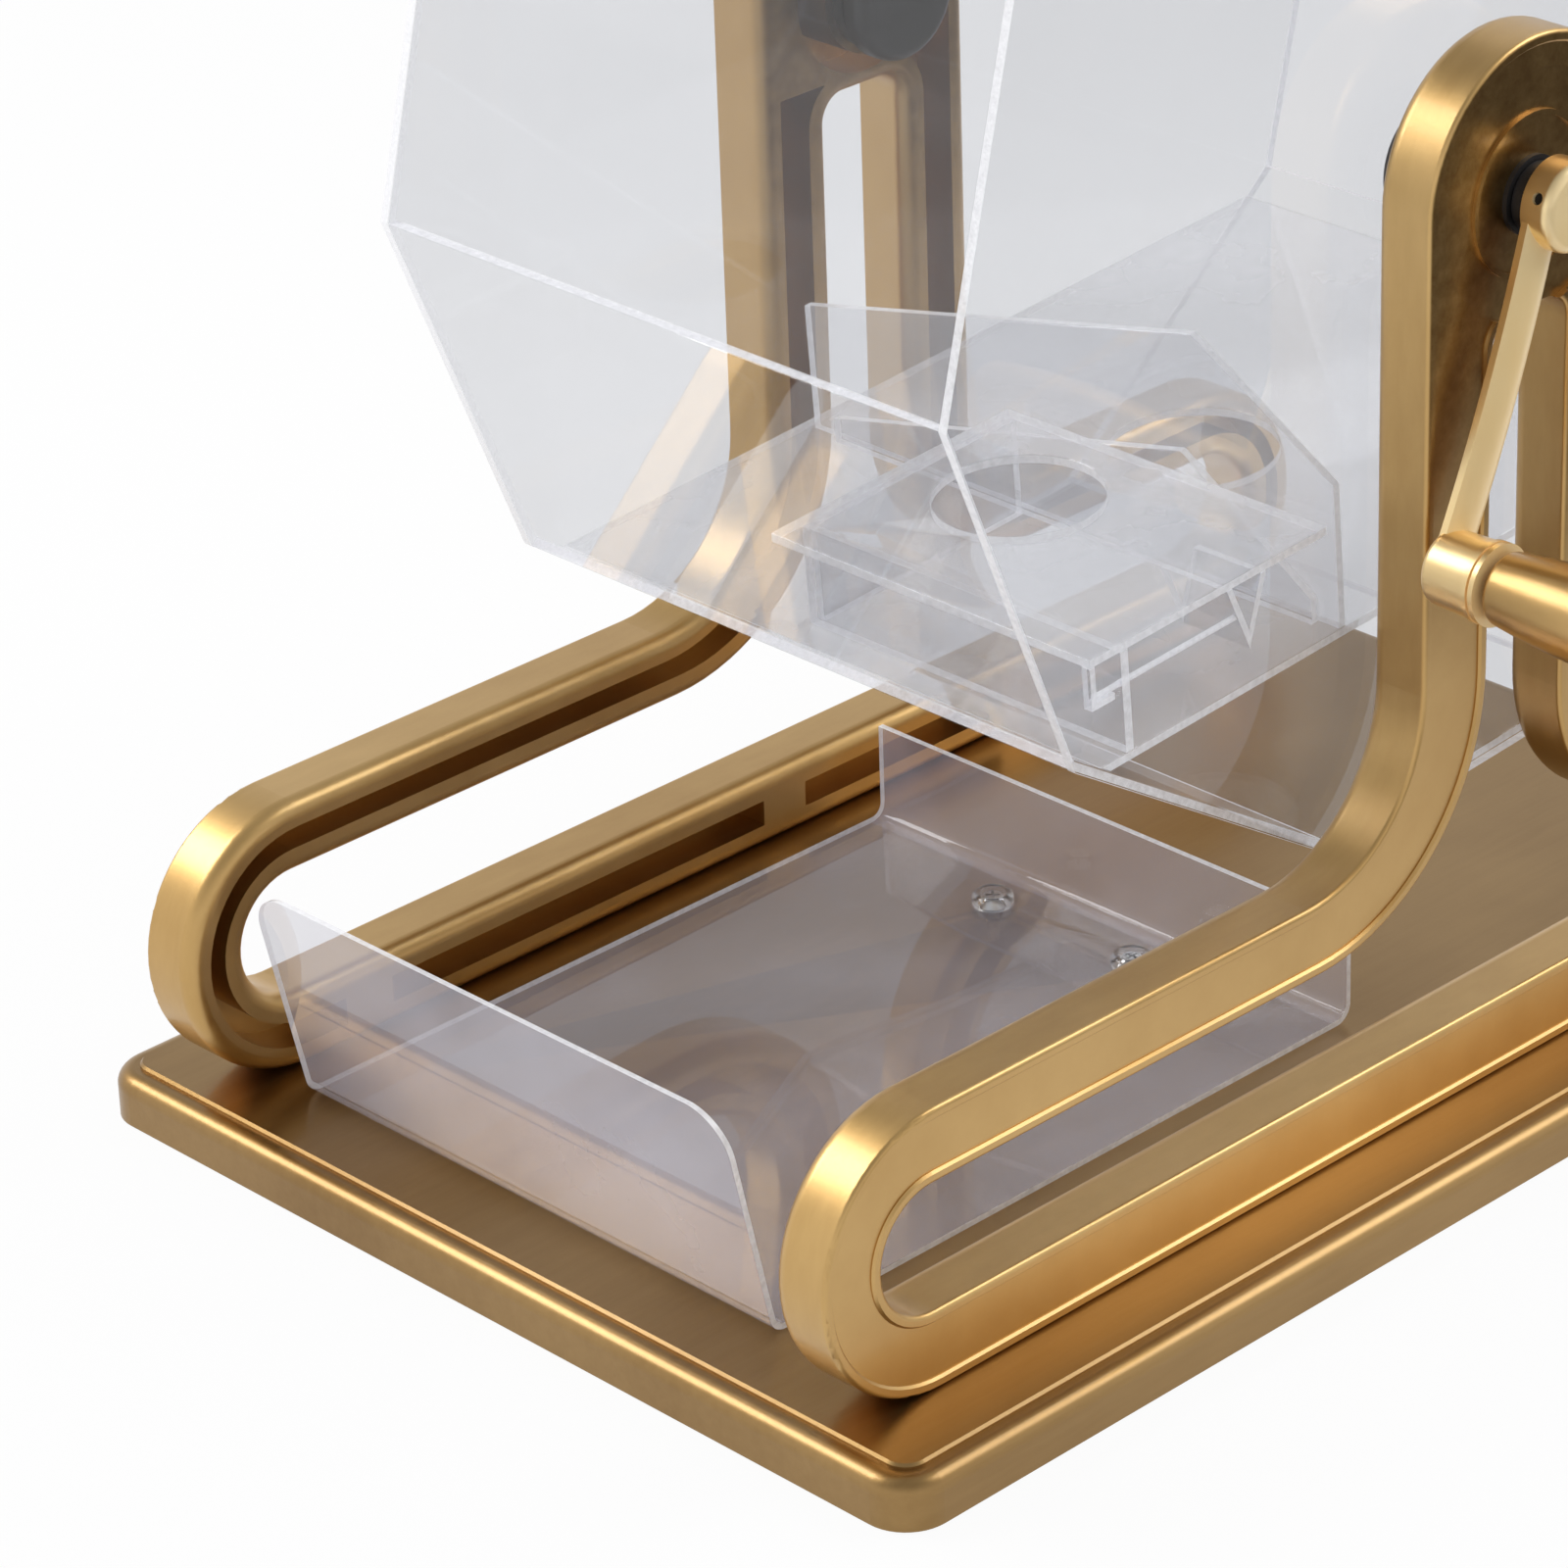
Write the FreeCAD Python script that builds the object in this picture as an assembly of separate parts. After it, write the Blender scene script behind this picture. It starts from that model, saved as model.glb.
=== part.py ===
import FreeCAD, Part
import math
import os

from FreeCAD import Vector

os.makedirs("parts", exist_ok=True)

# Raffle drum with crank: a ten-sided clear drum turns on two stub axles between two
# moulded side frames, over a base plate with a draw tray. A crank on the right axle turns it.
# Millimetres. +X towards the crank, +Y to the rear, +Z up. Origin: centre of the underside.

# --- Driving dimensions -----------------------------------------------------------------

# Base plate
base_width = 336.0
base_depth = 475.0
base_wall_height = 15.0
base_corner_radius = 14.0
base_shoulder_width = 7.0
base_shoulder_rise = 1.5
base_edge_radius = 5.0

# Drum and where it turns
axle_y = 43.2
axle_z = 287.0
drum_radius = 200.0
drum_sides = 10
drum_turn = 4.0
sheet = 3.0
glue_gap = 0.1

# Side frames
frame_inset = 28.5
frame_thickness = 20.0
frame_edge_radius = 1.4
frame_back_radius = 5.0
foot_height = 86.0
front_bar = 21.5
lower_bar = 24.5
upper_bar = 22.5
column_half_width = 43.5
slot_half_width = 16.0
hub_rise = 46.5
slot_top_drop = 33.0
slot_corner_radius = 8.0
front_bend_radius = 48.0
front_window_radius = 70.0
rear_bend_radius = 30.0
rear_window_radius = 52.0
channel_depth = 14.0
outer_wall = 7.7
window_wall = 8.3
rib_length = 18.0
front_rib_inset = 65.5
rear_rib_inset = 42.5
column_rib_ahead = 44.2
column_rib_behind = 61.8
lip_width = 3.6
field_depth = 1.0
field_slope = 0.7
hub_recess_radius = 36.0
hub_recess_depth = 2.0
hub_ring_radius = 24.0
hub_ring_width = 1.5
hub_ring_height = 1.0
inner_boss_wall = 11.0
inner_boss_reach = 4.5
boss_groove_radius = 27.5

# Frame screws, up through the base into the ribs
frame_screw_radius = 2.5
frame_screw_length = 26.0
frame_screw_head_radius = 5.0
frame_screw_head_height = 3.0
screw_recess = 1.0

# Axles, bushes and flanges
axle_radius = 7.0
running_gap = 0.05
bush_wall = 2.5
bush_flange_width = 2.0
bush_flange_thickness = 1.5
spacer_wall = 3.0
spacer_length = 5.5
axial_play = 0.5
side_gap = 0.3
outer_flange_width = 11.0
outer_flange_thickness = 4.0
inner_flange_width = 13.0
inner_flange_thickness = 7.0
inner_flange_skin = 2.0
flange_screw_offset = 7.0
flange_screw_radius = 1.5
flange_screw_head_radius = 2.8
flange_screw_head_height = 1.6
end_cap_width = 7.0
end_cap_thickness = 7.0

# Crank
crank_length = 103.5
crank_swing = 24.3
crank_head_wall = 6.0
crank_head_thickness = 10.0
crank_head_edge = 3.0
bar_width = 13.7
bar_thickness = 4.0
bar_inset = 0.5
bar_bow = 5.0
bar_crown = 1.8
boss_inner_radius = 11.0
boss_outer_radius = 11.5
boss_length = 16.0
boss_edge = 2.5
collar_radius = 12.0
collar_height = 1.6
collar_groove = 0.8
collar_groove_depth = 1.0
set_screw_radius = 1.7
set_screw_sink = 1.2
grip_gap = 1.5
grip_length = 84.0
grip_start_radius = 10.4
grip_belly_radius = 13.6
grip_end_radius = 11.0
grip_end_round = 2.5
grip_belly_share = 0.45
spindle_radius = 4.0
spindle_head_radius = 6.5
spindle_head_height = 3.0
spindle_head_sink = 1.0

# Tray
tray_left_gap = 13.0
tray_right_gap = 32.0
tray_sheet = 2.0
tray_front_margin = 30.0
tray_depth = 237.5
tray_lip_height = 74.0
tray_lip_lean = 12.5
tray_back_height = 32.5
tray_bend_radius = 6.0
tray_corner_radius = 14.0
tray_screw_spacing = 58.0
tray_screw_inset = 21.5
tray_screw_radius = 2.0
tray_screw_length = 12.0
tray_screw_head_radius = 4.0
tray_screw_head_height = 2.2
tray_cap_radius = 6.5
tray_cap_height = 4.0
tray_cap_wall = 1.2

# Partition and ball trap, in the drum's own frame (its lowest face level)
shelf_drop = 5.0
ball_hole_radius = 26.0
ball_hole_x = -1.6
ball_hole_y = 7.5
trap_height = 34.0
trap_length = 122.5
trap_depth = 87.5
trap_front_gap = 22.8
trap_lid_overhang = 12.0
trap_hole_radius = 25.0
trap_hole_from_end = 82.1
trap_hole_from_front = 46.6
wall_left_gap = 5.5
wall_left_height = 41.0
wall_peak_from_end = 51.5
wall_peak_height = 77.0
wall_right_height = 45.0
guard_left_gap = 17.5
guard_peak_from_end = 55.0
guard_right_gap = 7.5
guard_end_height = 8.0
guard_peak_height = 40.5
rod_radius = 0.9
rod_drop = 10.0
rod_inset = 0.6
bracket_from_front = 51.0
bracket_half_width = 8.0
bracket_depth = 21.0
bracket_length = 25.0
hook_width = 3.0
hook_foot = 9.0
small_sheet = 2.0

# Filling hatch on the upper front face
hatch_face = 3
hatch_side_margin = 47.5
hatch_lap = 7.0
hatch_corner_radius = 6.0
hinge_inset = 20.0
hinge_corner_margin = 1.9
hinge_width = 24.0
hinge_leaf = 1.2
hinge_leaf_reach = 10.0
hinge_pin_radius = 1.5
hinge_barrel_radius = 2.8
knob_radius = 7.0
knob_height = 12.0
knob_neck_radius = 4.0
knob_edge = 1.5
latch_radius = 6.0
latch_reach = 16.0
latch_thickness = 3.0
latch_stud_radius = 2.0
latch_stud_head_radius = 4.0
latch_stud_head_height = 1.6

# --- Sizes that follow ------------------------------------------------------------------

base_top = base_wall_height + base_shoulder_rise
frame_outer_x = base_width / 2 - frame_inset
frame_inner_x = frame_outer_x - frame_thickness
drum_end_x = frame_inner_x - inner_boss_reach - axial_play - outer_flange_thickness
drum_inner_x = drum_end_x - sheet
half_side_angle = math.radians(180.0 / drum_sides)
drum_apothem = drum_radius * math.cos(half_side_angle)
inner_apothem = drum_apothem - sheet
partition_z = -drum_radius * math.cos(3 * half_side_angle) - shelf_drop
trap_top_z = partition_z + trap_height
trap_lid_under = trap_top_z - sheet
trap_left_x = drum_inner_x - trap_length
trap_front_y = trap_front_gap - drum_radius * math.cos(2 * half_side_angle)
trap_back_y = trap_front_y + trap_depth
bracket_y = trap_front_y + bracket_from_front
half_face = drum_radius * math.sin(half_side_angle)
hinge_reach = 2 * hinge_barrel_radius + side_gap + hinge_leaf_reach + hinge_corner_margin
hatch_open_x = 2 * (drum_inner_x - hatch_side_margin)
hatch_open_y = 2 * (half_face - hinge_reach - hatch_lap)
hinge_spacing = hatch_open_x - 2 * hinge_inset
slot_top_z = axle_z - slot_top_drop
rib_places = (front_rib_inset - base_depth / 2, axle_y - column_rib_ahead,
              axle_y + column_rib_behind, base_depth / 2 - rear_rib_inset)
bush_radius = axle_radius + bush_wall
inner_boss_radius = bush_radius + inner_boss_wall
outer_flange_x = drum_end_x + outer_flange_thickness
inner_flange_x = drum_inner_x - inner_flange_thickness
axle_start_x = inner_flange_x + inner_flange_skin
bush_face_x = frame_outer_x - hub_recess_depth + bush_flange_thickness
crank_inner_x = bush_face_x + axial_play + spacer_length
crank_outer_x = crank_inner_x + crank_head_thickness
collar_x = crank_inner_x + boss_length
collar_end_x = collar_x + 2 * collar_height + collar_groove
spindle_start_x = crank_inner_x + boss_edge
grip_start_x = collar_end_x + grip_gap
grip_end_x = grip_start_x + grip_length
tray_left_x = tray_left_gap - frame_inner_x
tray_right_x = frame_inner_x - tray_right_gap
tray_front_y = tray_front_margin - base_depth / 2
tray_back_y = tray_front_y + tray_depth
tray_screw_y = tray_back_y - tray_screw_inset
tray_floor = base_top + tray_sheet

X_AXIS = Vector(1, 0, 0)
Z_AXIS = Vector(0, 0, 1)
ORIGIN = Vector(0, 0, 0)


# --- Shape helpers ----------------------------------------------------------------------

def save(shape, node):
    """Write one node's STEP file."""
    shape.removeSplitter().exportStep("parts/" + node + ".step")


def x_cylinder(radius, x_start, x_end, y=axle_y, z=axle_z):
    """Cylinder along X between two X positions."""
    return Part.makeCylinder(radius, x_end - x_start, Vector(x_start, y, z), X_AXIS)


def z_cylinder(radius, z_start, z_end, x=0.0, y=0.0):
    """Cylinder along Z between two heights."""
    return Part.makeCylinder(radius, z_end - z_start, Vector(x, y, z_start), Z_AXIS)


def block(x_start, x_end, y_start, y_end, z_start, z_end):
    """Box between two corners."""
    corner = Vector(x_start, y_start, z_start)
    return Part.makeBox(x_end - x_start, y_end - y_start, z_end - z_start, corner)


def mirrored(shape):
    """The same piece on the other side of the YZ plane."""
    return shape.mirror(ORIGIN, X_AXIS)


def rounded_wire(corners):
    """Closed wire through corners, each a point and the radius of its round."""
    count = len(corners)
    ends = []
    for i in range(count):
        before, (here, radius), after = corners[i - 1][0], corners[i], corners[(i + 1) % count][0]
        to_before = (before - here).normalize()
        to_after = (after - here).normalize()
        turn = to_before.getAngle(to_after)
        reach = radius / math.tan(turn / 2)
        start = here + to_before * reach
        end = here + to_after * reach
        inward = (to_before + to_after).normalize()
        middle = here + inward * (radius / math.sin(turn / 2) - radius)
        ends.append((start, middle, end, radius))
    edges = []
    for i in range(count):
        start, middle, end, radius = ends[i]
        if radius > 0:
            edges.append(Part.Arc(start, middle, end).toShape())
        following = ends[(i + 1) % count][0]
        if end.distanceToPoint(following) > 1e-6:
            edges.append(Part.makeLine(end, following))
    return Part.Wire(edges)


def x_prism(corners, x_start, x_end):
    """Plate of rounded outline in the YZ plane; corners are (y, z, radius)."""
    wire = rounded_wire([(Vector(x_start, y, z), radius) for y, z, radius in corners])
    return Part.Face(wire).extrude(Vector(x_end - x_start, 0, 0))


def y_plate(corners, y_start, y_end):
    """Plate of straight-edged outline in the XZ plane; corners are (x, z)."""
    points = [Vector(x, y_start, z) for x, z in corners]
    return Part.Face(Part.makePolygon(points + points[:1])).extrude(Vector(0, y_end - y_start, 0))


def z_prism(width, depth, radius, z_start, z_end, x=0.0, y=0.0):
    """Plate with rounded plan corners."""
    signs = ((-1, -1), (1, -1), (1, 1), (-1, 1))
    corners = [(Vector(x + sx * width / 2, y + sy * depth / 2, z_start), radius) for sx, sy in signs]
    return Part.Face(rounded_wire(corners)).extrude(Vector(0, 0, z_end - z_start))


def edges_at(shape, axis, value):
    """Edges that lie in the plane axis = value."""
    low, high = axis + "Min", axis + "Max"
    found = []
    for edge in shape.Edges:
        box = edge.BoundBox
        if abs(getattr(box, low) - value) < 1e-4 and abs(getattr(box, high) - value) < 1e-4:
            found.append(edge)
    return found


def new_edges(shape, before, axis, value):
    """Edges in a plane that the shape has and the one before it had not."""
    old = [edge.CenterOfMass for edge in edges_at(before, axis, value)]
    return [edge for edge in edges_at(shape, axis, value)
            if all(edge.CenterOfMass.distanceToPoint(centre) > 1e-4 for centre in old)]


def on_drum(shape):
    """Move a piece from the drum's own frame to its place and resting turn."""
    placed = shape.copy()
    placed.rotate(ORIGIN, X_AXIS, drum_turn)
    placed.translate(Vector(0, axle_y, axle_z))
    return placed


def on_face(shape, face):
    """Move a piece drawn on a level face (Z = 0 outside) to one face of the drum."""
    placed = shape.copy()
    placed.translate(Vector(0, 0, drum_apothem))
    placed.rotate(ORIGIN, X_AXIS, (face + 0.5) * 360.0 / drum_sides - 90.0)
    return on_drum(placed)


def decagon(apothem, x_start, x_end):
    """Prism over the drum's regular outline, a flat face at the bottom."""
    radius = apothem / math.cos(half_side_angle)
    angles = [2 * half_side_angle * i for i in range(drum_sides)]
    points = [Vector(x_start, radius * math.cos(a), radius * math.sin(a)) for a in angles]
    face = Part.Face(Part.makePolygon(points + points[:1]))
    return face.extrude(Vector(x_end - x_start, 0, 0))


# --- Base plate -------------------------------------------------------------------------

def make_base():
    lower = z_prism(base_width, base_depth, base_corner_radius, 0, base_wall_height)
    lower = lower.makeFillet(base_edge_radius, edges_at(lower, "Z", base_wall_height))
    top_radius = base_corner_radius - base_shoulder_width
    upper = z_prism(base_width - 2 * base_shoulder_width, base_depth - 2 * base_shoulder_width,
                    top_radius, base_wall_height, base_top)
    upper = upper.makeChamfer(base_shoulder_rise / 2, edges_at(upper, "Z", base_top))
    plate = lower.fuse(upper)
    for x, y in frame_screw_points():
        plate = plate.cut(z_cylinder(frame_screw_radius, 0, base_top, x, y))
        head_top = screw_recess + frame_screw_head_height
        plate = plate.cut(z_cylinder(frame_screw_head_radius + glue_gap, 0, head_top, x, y))
    for x in tray_screw_x():
        depth = tray_floor - tray_screw_length
        plate = plate.cut(z_cylinder(tray_screw_radius, depth, base_top, x, tray_screw_y))
    return plate


def frame_screw_points():
    """Where the frame screws stand: under each rib of both frames."""
    x = frame_inner_x + channel_depth / 2
    return [(side * x, y) for side in (-1, 1) for y in rib_places]


def make_frame_screws():
    screws = []
    for x, y in frame_screw_points():
        head_top = screw_recess + frame_screw_head_height
        head = z_cylinder(frame_screw_head_radius, screw_recess, head_top, x, y)
        shank = z_cylinder(frame_screw_radius, head_top, screw_recess + frame_screw_length, x, y)
        screws.append(head.fuse(shank))
    return Part.makeCompound(screws)


# --- Side frames ------------------------------------------------------------------------

def frame_outline(inset):
    """Corners of a frame's outer edge, moved inwards by inset."""
    front = -base_depth / 2 + inset
    rear = base_depth / 2 - inset
    bottom = base_top + inset
    shoulder = base_top + foot_height - inset
    left = axle_y - column_half_width + inset
    right = axle_y + column_half_width - inset
    top = axle_z + hub_rise - inset
    end_radius = foot_height / 2 - inset
    hub_radius = column_half_width - inset
    return [
        (front, bottom, end_radius),
        (rear, bottom, end_radius),
        (rear, shoulder, end_radius),
        (right, shoulder, rear_bend_radius + inset),
        (right, top, hub_radius),
        (left, top, hub_radius),
        (left, shoulder, front_bend_radius + inset),
        (front, shoulder, end_radius),
    ]


def frame_window(outset):
    """Corners of a frame's inner edge, moved into the bar by outset."""
    front = -base_depth / 2 + front_bar - outset
    rear = base_depth / 2 - front_bar + outset
    bottom = base_top + lower_bar - outset
    shoulder = base_top + foot_height - upper_bar + outset
    left = axle_y - slot_half_width - outset
    right = axle_y + slot_half_width + outset
    top = slot_top_z + outset
    end_radius = (foot_height - lower_bar - upper_bar) / 2 + outset
    return [
        (front, bottom, end_radius),
        (rear, bottom, end_radius),
        (rear, shoulder, end_radius),
        (right, shoulder, rear_window_radius - outset),
        (right, top, slot_corner_radius + outset),
        (left, top, slot_corner_radius + outset),
        (left, shoulder, front_window_radius - outset),
        (front, shoulder, end_radius),
    ]


def make_frame():
    """Right-hand frame: a moulded loop, open to the drum along its U channel.

    Its outer side is a sunk field between two narrow lips.
    """
    body = x_prism(frame_outline(0), frame_inner_x, frame_outer_x)
    body = body.cut(x_prism(frame_window(0), frame_inner_x, frame_outer_x))
    body = body.makeFillet(frame_back_radius, edges_at(body, "X", frame_inner_x))
    rimmed = body.makeFillet(frame_edge_radius, edges_at(body, "X", frame_outer_x))
    field_x = frame_outer_x - field_depth
    field = x_prism(frame_outline(lip_width), field_x, frame_outer_x)
    field = field.cut(x_prism(frame_window(lip_width), field_x, frame_outer_x))
    body = rimmed.cut(field)
    body = body.makeChamfer(field_slope, new_edges(body, rimmed, "X", frame_outer_x))

    channel_end = frame_inner_x + channel_depth
    channel = x_prism(frame_outline(outer_wall), frame_inner_x, channel_end)
    channel = channel.cut(x_prism(frame_window(window_wall), frame_inner_x, channel_end))
    hub_bottom = axle_z - boss_groove_radius
    hub_front = block(frame_inner_x, channel_end, axle_y - column_half_width,
                      axle_y + inner_boss_radius, hub_bottom, axle_z + hub_rise)
    ring = x_cylinder(boss_groove_radius, frame_inner_x, channel_end)
    channel = channel.cut(hub_front).fuse(ring)
    channel = channel.cut(x_cylinder(inner_boss_radius, frame_inner_x, channel_end))
    for y in rib_places:
        bar_top = base_top + lower_bar
        channel = channel.cut(block(frame_inner_x, channel_end, y - rib_length / 2,
                                    y + rib_length / 2, base_top, bar_top))
    body = body.cut(channel)

    boss_x = frame_inner_x - inner_boss_reach
    body = body.fuse(x_cylinder(inner_boss_radius, boss_x, frame_inner_x))
    floor_x = frame_outer_x - hub_recess_depth
    body = body.cut(x_cylinder(hub_recess_radius, floor_x, frame_outer_x))
    ring = x_cylinder(hub_ring_radius, floor_x, floor_x + hub_ring_height)
    ring = ring.cut(x_cylinder(hub_ring_radius - hub_ring_width, floor_x, floor_x + hub_ring_height))
    body = body.fuse(ring)
    body = body.cut(x_cylinder(bush_radius, boss_x, frame_outer_x))
    for x, y in frame_screw_points():
        if x > 0:
            top = screw_recess + frame_screw_length
            body = body.cut(z_cylinder(frame_screw_radius, base_top, top, x, y))
    return body


# --- Bushes, axles and flanges ------------------------------------------------------------

def make_bush():
    """Right-hand bush: pressed into the hub, its flange against the recess floor."""
    floor_x = frame_outer_x - hub_recess_depth
    sleeve_x = frame_inner_x - inner_boss_reach
    sleeve = x_cylinder(bush_radius, sleeve_x, floor_x)
    flange = x_cylinder(bush_radius + bush_flange_width, floor_x, bush_face_x)
    bore = x_cylinder(axle_radius + running_gap, sleeve_x, bush_face_x)
    return sleeve.fuse(flange).cut(bore)


def make_spacer():
    """Right-hand ring on the axle, between the bush and what the axle carries outside."""
    ring = x_cylinder(axle_radius + spacer_wall, bush_face_x + axial_play, crank_inner_x)
    return ring.cut(x_cylinder(axle_radius, bush_face_x + axial_play, crank_inner_x))


def make_outer_flange():
    """Right-hand flange: fills the space between the drum's end and the frame's boss."""
    disc = x_cylinder(axle_radius + outer_flange_width, drum_end_x, outer_flange_x)
    return cut_for_axle(disc)


def make_inner_flange():
    """Right-hand flange inside the drum, closed over the axle's end, with a rounded face."""
    disc = x_cylinder(axle_radius + inner_flange_width, inner_flange_x, drum_inner_x)
    disc = disc.makeFillet(inner_flange_thickness / 2, edges_at(disc, "X", inner_flange_x))
    return cut_for_axle(disc)


def flange_screw_points():
    """Axis positions (y, z) of one flange's screws."""
    circle = axle_radius + flange_screw_offset
    points = []
    for i in range(4):
        angle = math.radians(45.0 + 90.0 * i + drum_turn)
        y = axle_y + circle * math.cos(angle)
        z = axle_z + circle * math.sin(angle)
        points.append((y, z))
    return points


def make_axle(outer_end):
    """Right-hand stub axle, from inside the inner flange to outer_end."""
    return x_cylinder(axle_radius, axle_start_x, outer_end)


def make_flange_screws():
    """Right-hand set: heads flush in the outer flange, shanks into the inner one."""
    screws = []
    head_x = outer_flange_x - flange_screw_head_height
    for y, z in flange_screw_points():
        head = x_cylinder(flange_screw_head_radius, head_x, outer_flange_x, y, z)
        shank = x_cylinder(flange_screw_radius, axle_start_x, head_x, y, z)
        screws.append(head.fuse(shank))
    return Part.makeCompound(screws)


def cut_for_axle(shape):
    """Open a flange or end plate for the axle and for the flange screws."""
    return shape.cut(make_axle(outer_flange_x)).cut(make_flange_screws())


def make_end_cap():
    """Left-hand cap that closes the axle's end, drawn on the right."""
    cap_end = crank_inner_x + end_cap_thickness
    cap = x_cylinder(axle_radius + end_cap_width, crank_inner_x, cap_end)
    cap = cap.makeFillet(end_cap_thickness / 2, edges_at(cap, "X", cap_end))
    return cap.cut(x_cylinder(axle_radius, crank_inner_x, crank_inner_x + end_cap_thickness / 2))


# --- Crank --------------------------------------------------------------------------------

def crank_point(along, across=0.0):
    """Point (y, z) of the crank, measured along it from the axle and across it."""
    swing = math.radians(crank_swing)
    y = axle_y - along * math.sin(swing) - across * math.cos(swing)
    z = axle_z - along * math.cos(swing) + across * math.sin(swing)
    return y, z


def bar_section(along, bow):
    """Section of the crank bar: flat towards the frame, crowned on its outer side."""
    flat_x = crank_inner_x + bar_inset
    crest_x = flat_x + bar_thickness
    shoulder_x = crest_x - bar_crown
    front = bow + bar_width / 2
    rear = bow - bar_width / 2
    places = ((shoulder_x, front), (flat_x, front), (flat_x, rear), (shoulder_x, rear))
    corners = [Vector(x, *crank_point(along, across)) for x, across in places]
    crest = Vector(crest_x, *crank_point(along, bow))
    edges = [Part.makeLine(start, end) for start, end in zip(corners, corners[1:])]
    edges.append(Part.Arc(corners[-1], crest, corners[0]).toShape())
    return Part.Wire(edges)


def make_bar():
    """Bar between the crank's head and its boss, bowed to the front at its upper end."""
    sections = [bar_section(0, bar_bow), bar_section(crank_length / 2, 0),
                bar_section(crank_length, 0)]
    return Part.makeLoft(sections, True)


def make_crank_arm():
    head = x_cylinder(axle_radius + crank_head_wall, crank_inner_x, crank_outer_x)
    head = head.makeFillet(crank_head_edge, edges_at(head, "X", crank_outer_x))
    boss_y, boss_z = crank_point(crank_length)
    boss = Part.makeCone(boss_inner_radius, boss_outer_radius, boss_length,
                         Vector(crank_inner_x, boss_y, boss_z), X_AXIS)
    boss = boss.makeFillet(boss_edge, edges_at(boss, "X", crank_inner_x))
    neck = x_cylinder(collar_radius - collar_groove_depth, collar_x, collar_end_x, boss_y, boss_z)
    inner_ring = x_cylinder(collar_radius, collar_x, collar_x + collar_height, boss_y, boss_z)
    outer_ring = x_cylinder(collar_radius, collar_end_x - collar_height, collar_end_x,
                            boss_y, boss_z)
    arm = head.fuse([boss, make_bar(), neck, inner_ring, outer_ring])
    axle_end = crank_outer_x - crank_head_edge
    arm = arm.cut(x_cylinder(axle_radius, crank_inner_x, axle_end))
    arm = arm.cut(x_cylinder(spindle_radius, spindle_start_x, collar_end_x, boss_y, boss_z))
    return arm.cut(set_screw_bore(axle_radius + crank_head_wall + crank_head_edge))


def set_screw_bore(outer_reach):
    """Cylinder across the crank's head, from the axle's surface outwards."""
    y, z = crank_point(0, axle_radius)
    out_y, out_z = crank_point(0, outer_reach)
    middle_x = (crank_inner_x + crank_outer_x) / 2
    direction = Vector(0, out_y - y, out_z - z)
    return Part.makeCylinder(set_screw_radius, direction.Length, Vector(middle_x, y, z), direction)


def make_spindle():
    """Pin of the grip: fixed in the crank's boss, headed inside the grip's end."""
    y, z = crank_point(crank_length)
    head_start = grip_end_x - spindle_head_sink - spindle_head_height
    pin = x_cylinder(spindle_radius, spindle_start_x, head_start, y, z)
    head = x_cylinder(spindle_head_radius, head_start, head_start + spindle_head_height, y, z)
    return pin.fuse(head)


def make_grip():
    """Barrel-shaped turned grip that runs on the spindle."""
    y, z = crank_point(crank_length)
    belly_x = grip_start_x + grip_belly_share * grip_length
    side = [Vector(grip_start_x, y + grip_start_radius, z),
            Vector(belly_x, y + grip_belly_radius, z),
            Vector(grip_end_x, y + grip_end_radius, z)]
    curve = Part.BSplineCurve()
    curve.interpolate(side)
    start = Vector(grip_start_x, y, z)
    end = Vector(grip_end_x, y, z)
    edges = [Part.makeLine(start, side[0]), curve.toShape(), Part.makeLine(side[-1], end),
             Part.makeLine(end, start)]
    grip = Part.Face(Part.Wire(edges)).revolve(start, X_AXIS, 360)
    rims = edges_at(grip, "X", grip_start_x) + edges_at(grip, "X", grip_end_x)
    grip = grip.makeFillet(grip_end_round, rims)
    grip = grip.cut(x_cylinder(spindle_radius + running_gap, grip_start_x, grip_end_x, y, z))
    counterbore = grip_end_x - spindle_head_sink - spindle_head_height - side_gap
    return grip.cut(x_cylinder(spindle_head_radius + side_gap, counterbore, grip_end_x, y, z))


# --- Drum shell -----------------------------------------------------------------------------

def make_end_plate():
    """Right-hand end plate: the full ten-sided outline."""
    return cut_for_axle(on_drum(decagon(drum_apothem, drum_inner_x, drum_end_x)))


def make_side_panel(face):
    """One of the drum's faces, mitred to its neighbours, between the end plates."""
    half_out = drum_apothem * math.tan(half_side_angle)
    half_in = inner_apothem * math.tan(half_side_angle)
    outline = [(-half_out, 0, 0), (half_out, 0, 0), (half_in, -sheet, 0), (-half_in, -sheet, 0)]
    return on_face(x_prism(outline, -drum_inner_x, drum_inner_x), face)


def hatch_outline(grow, z_start, z_end):
    """Rounded plate over the hatch's opening, larger by grow on each side."""
    return z_prism(hatch_open_x + 2 * grow, hatch_open_y + 2 * grow, hatch_corner_radius,
                   z_start, z_end)


def make_partition():
    """Level shelf across the drum, cut to its inner walls, with the ball hole."""
    room = decagon(inner_apothem - glue_gap, -drum_inner_x, drum_inner_x)
    shelf = room.common(block(-drum_inner_x, drum_inner_x, -drum_radius, drum_radius,
                              partition_z - sheet, partition_z))
    hole = z_cylinder(ball_hole_radius, partition_z - sheet, partition_z, ball_hole_x, ball_hole_y)
    return on_drum(shelf.cut(hole))


# --- Ball trap ------------------------------------------------------------------------------

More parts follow.
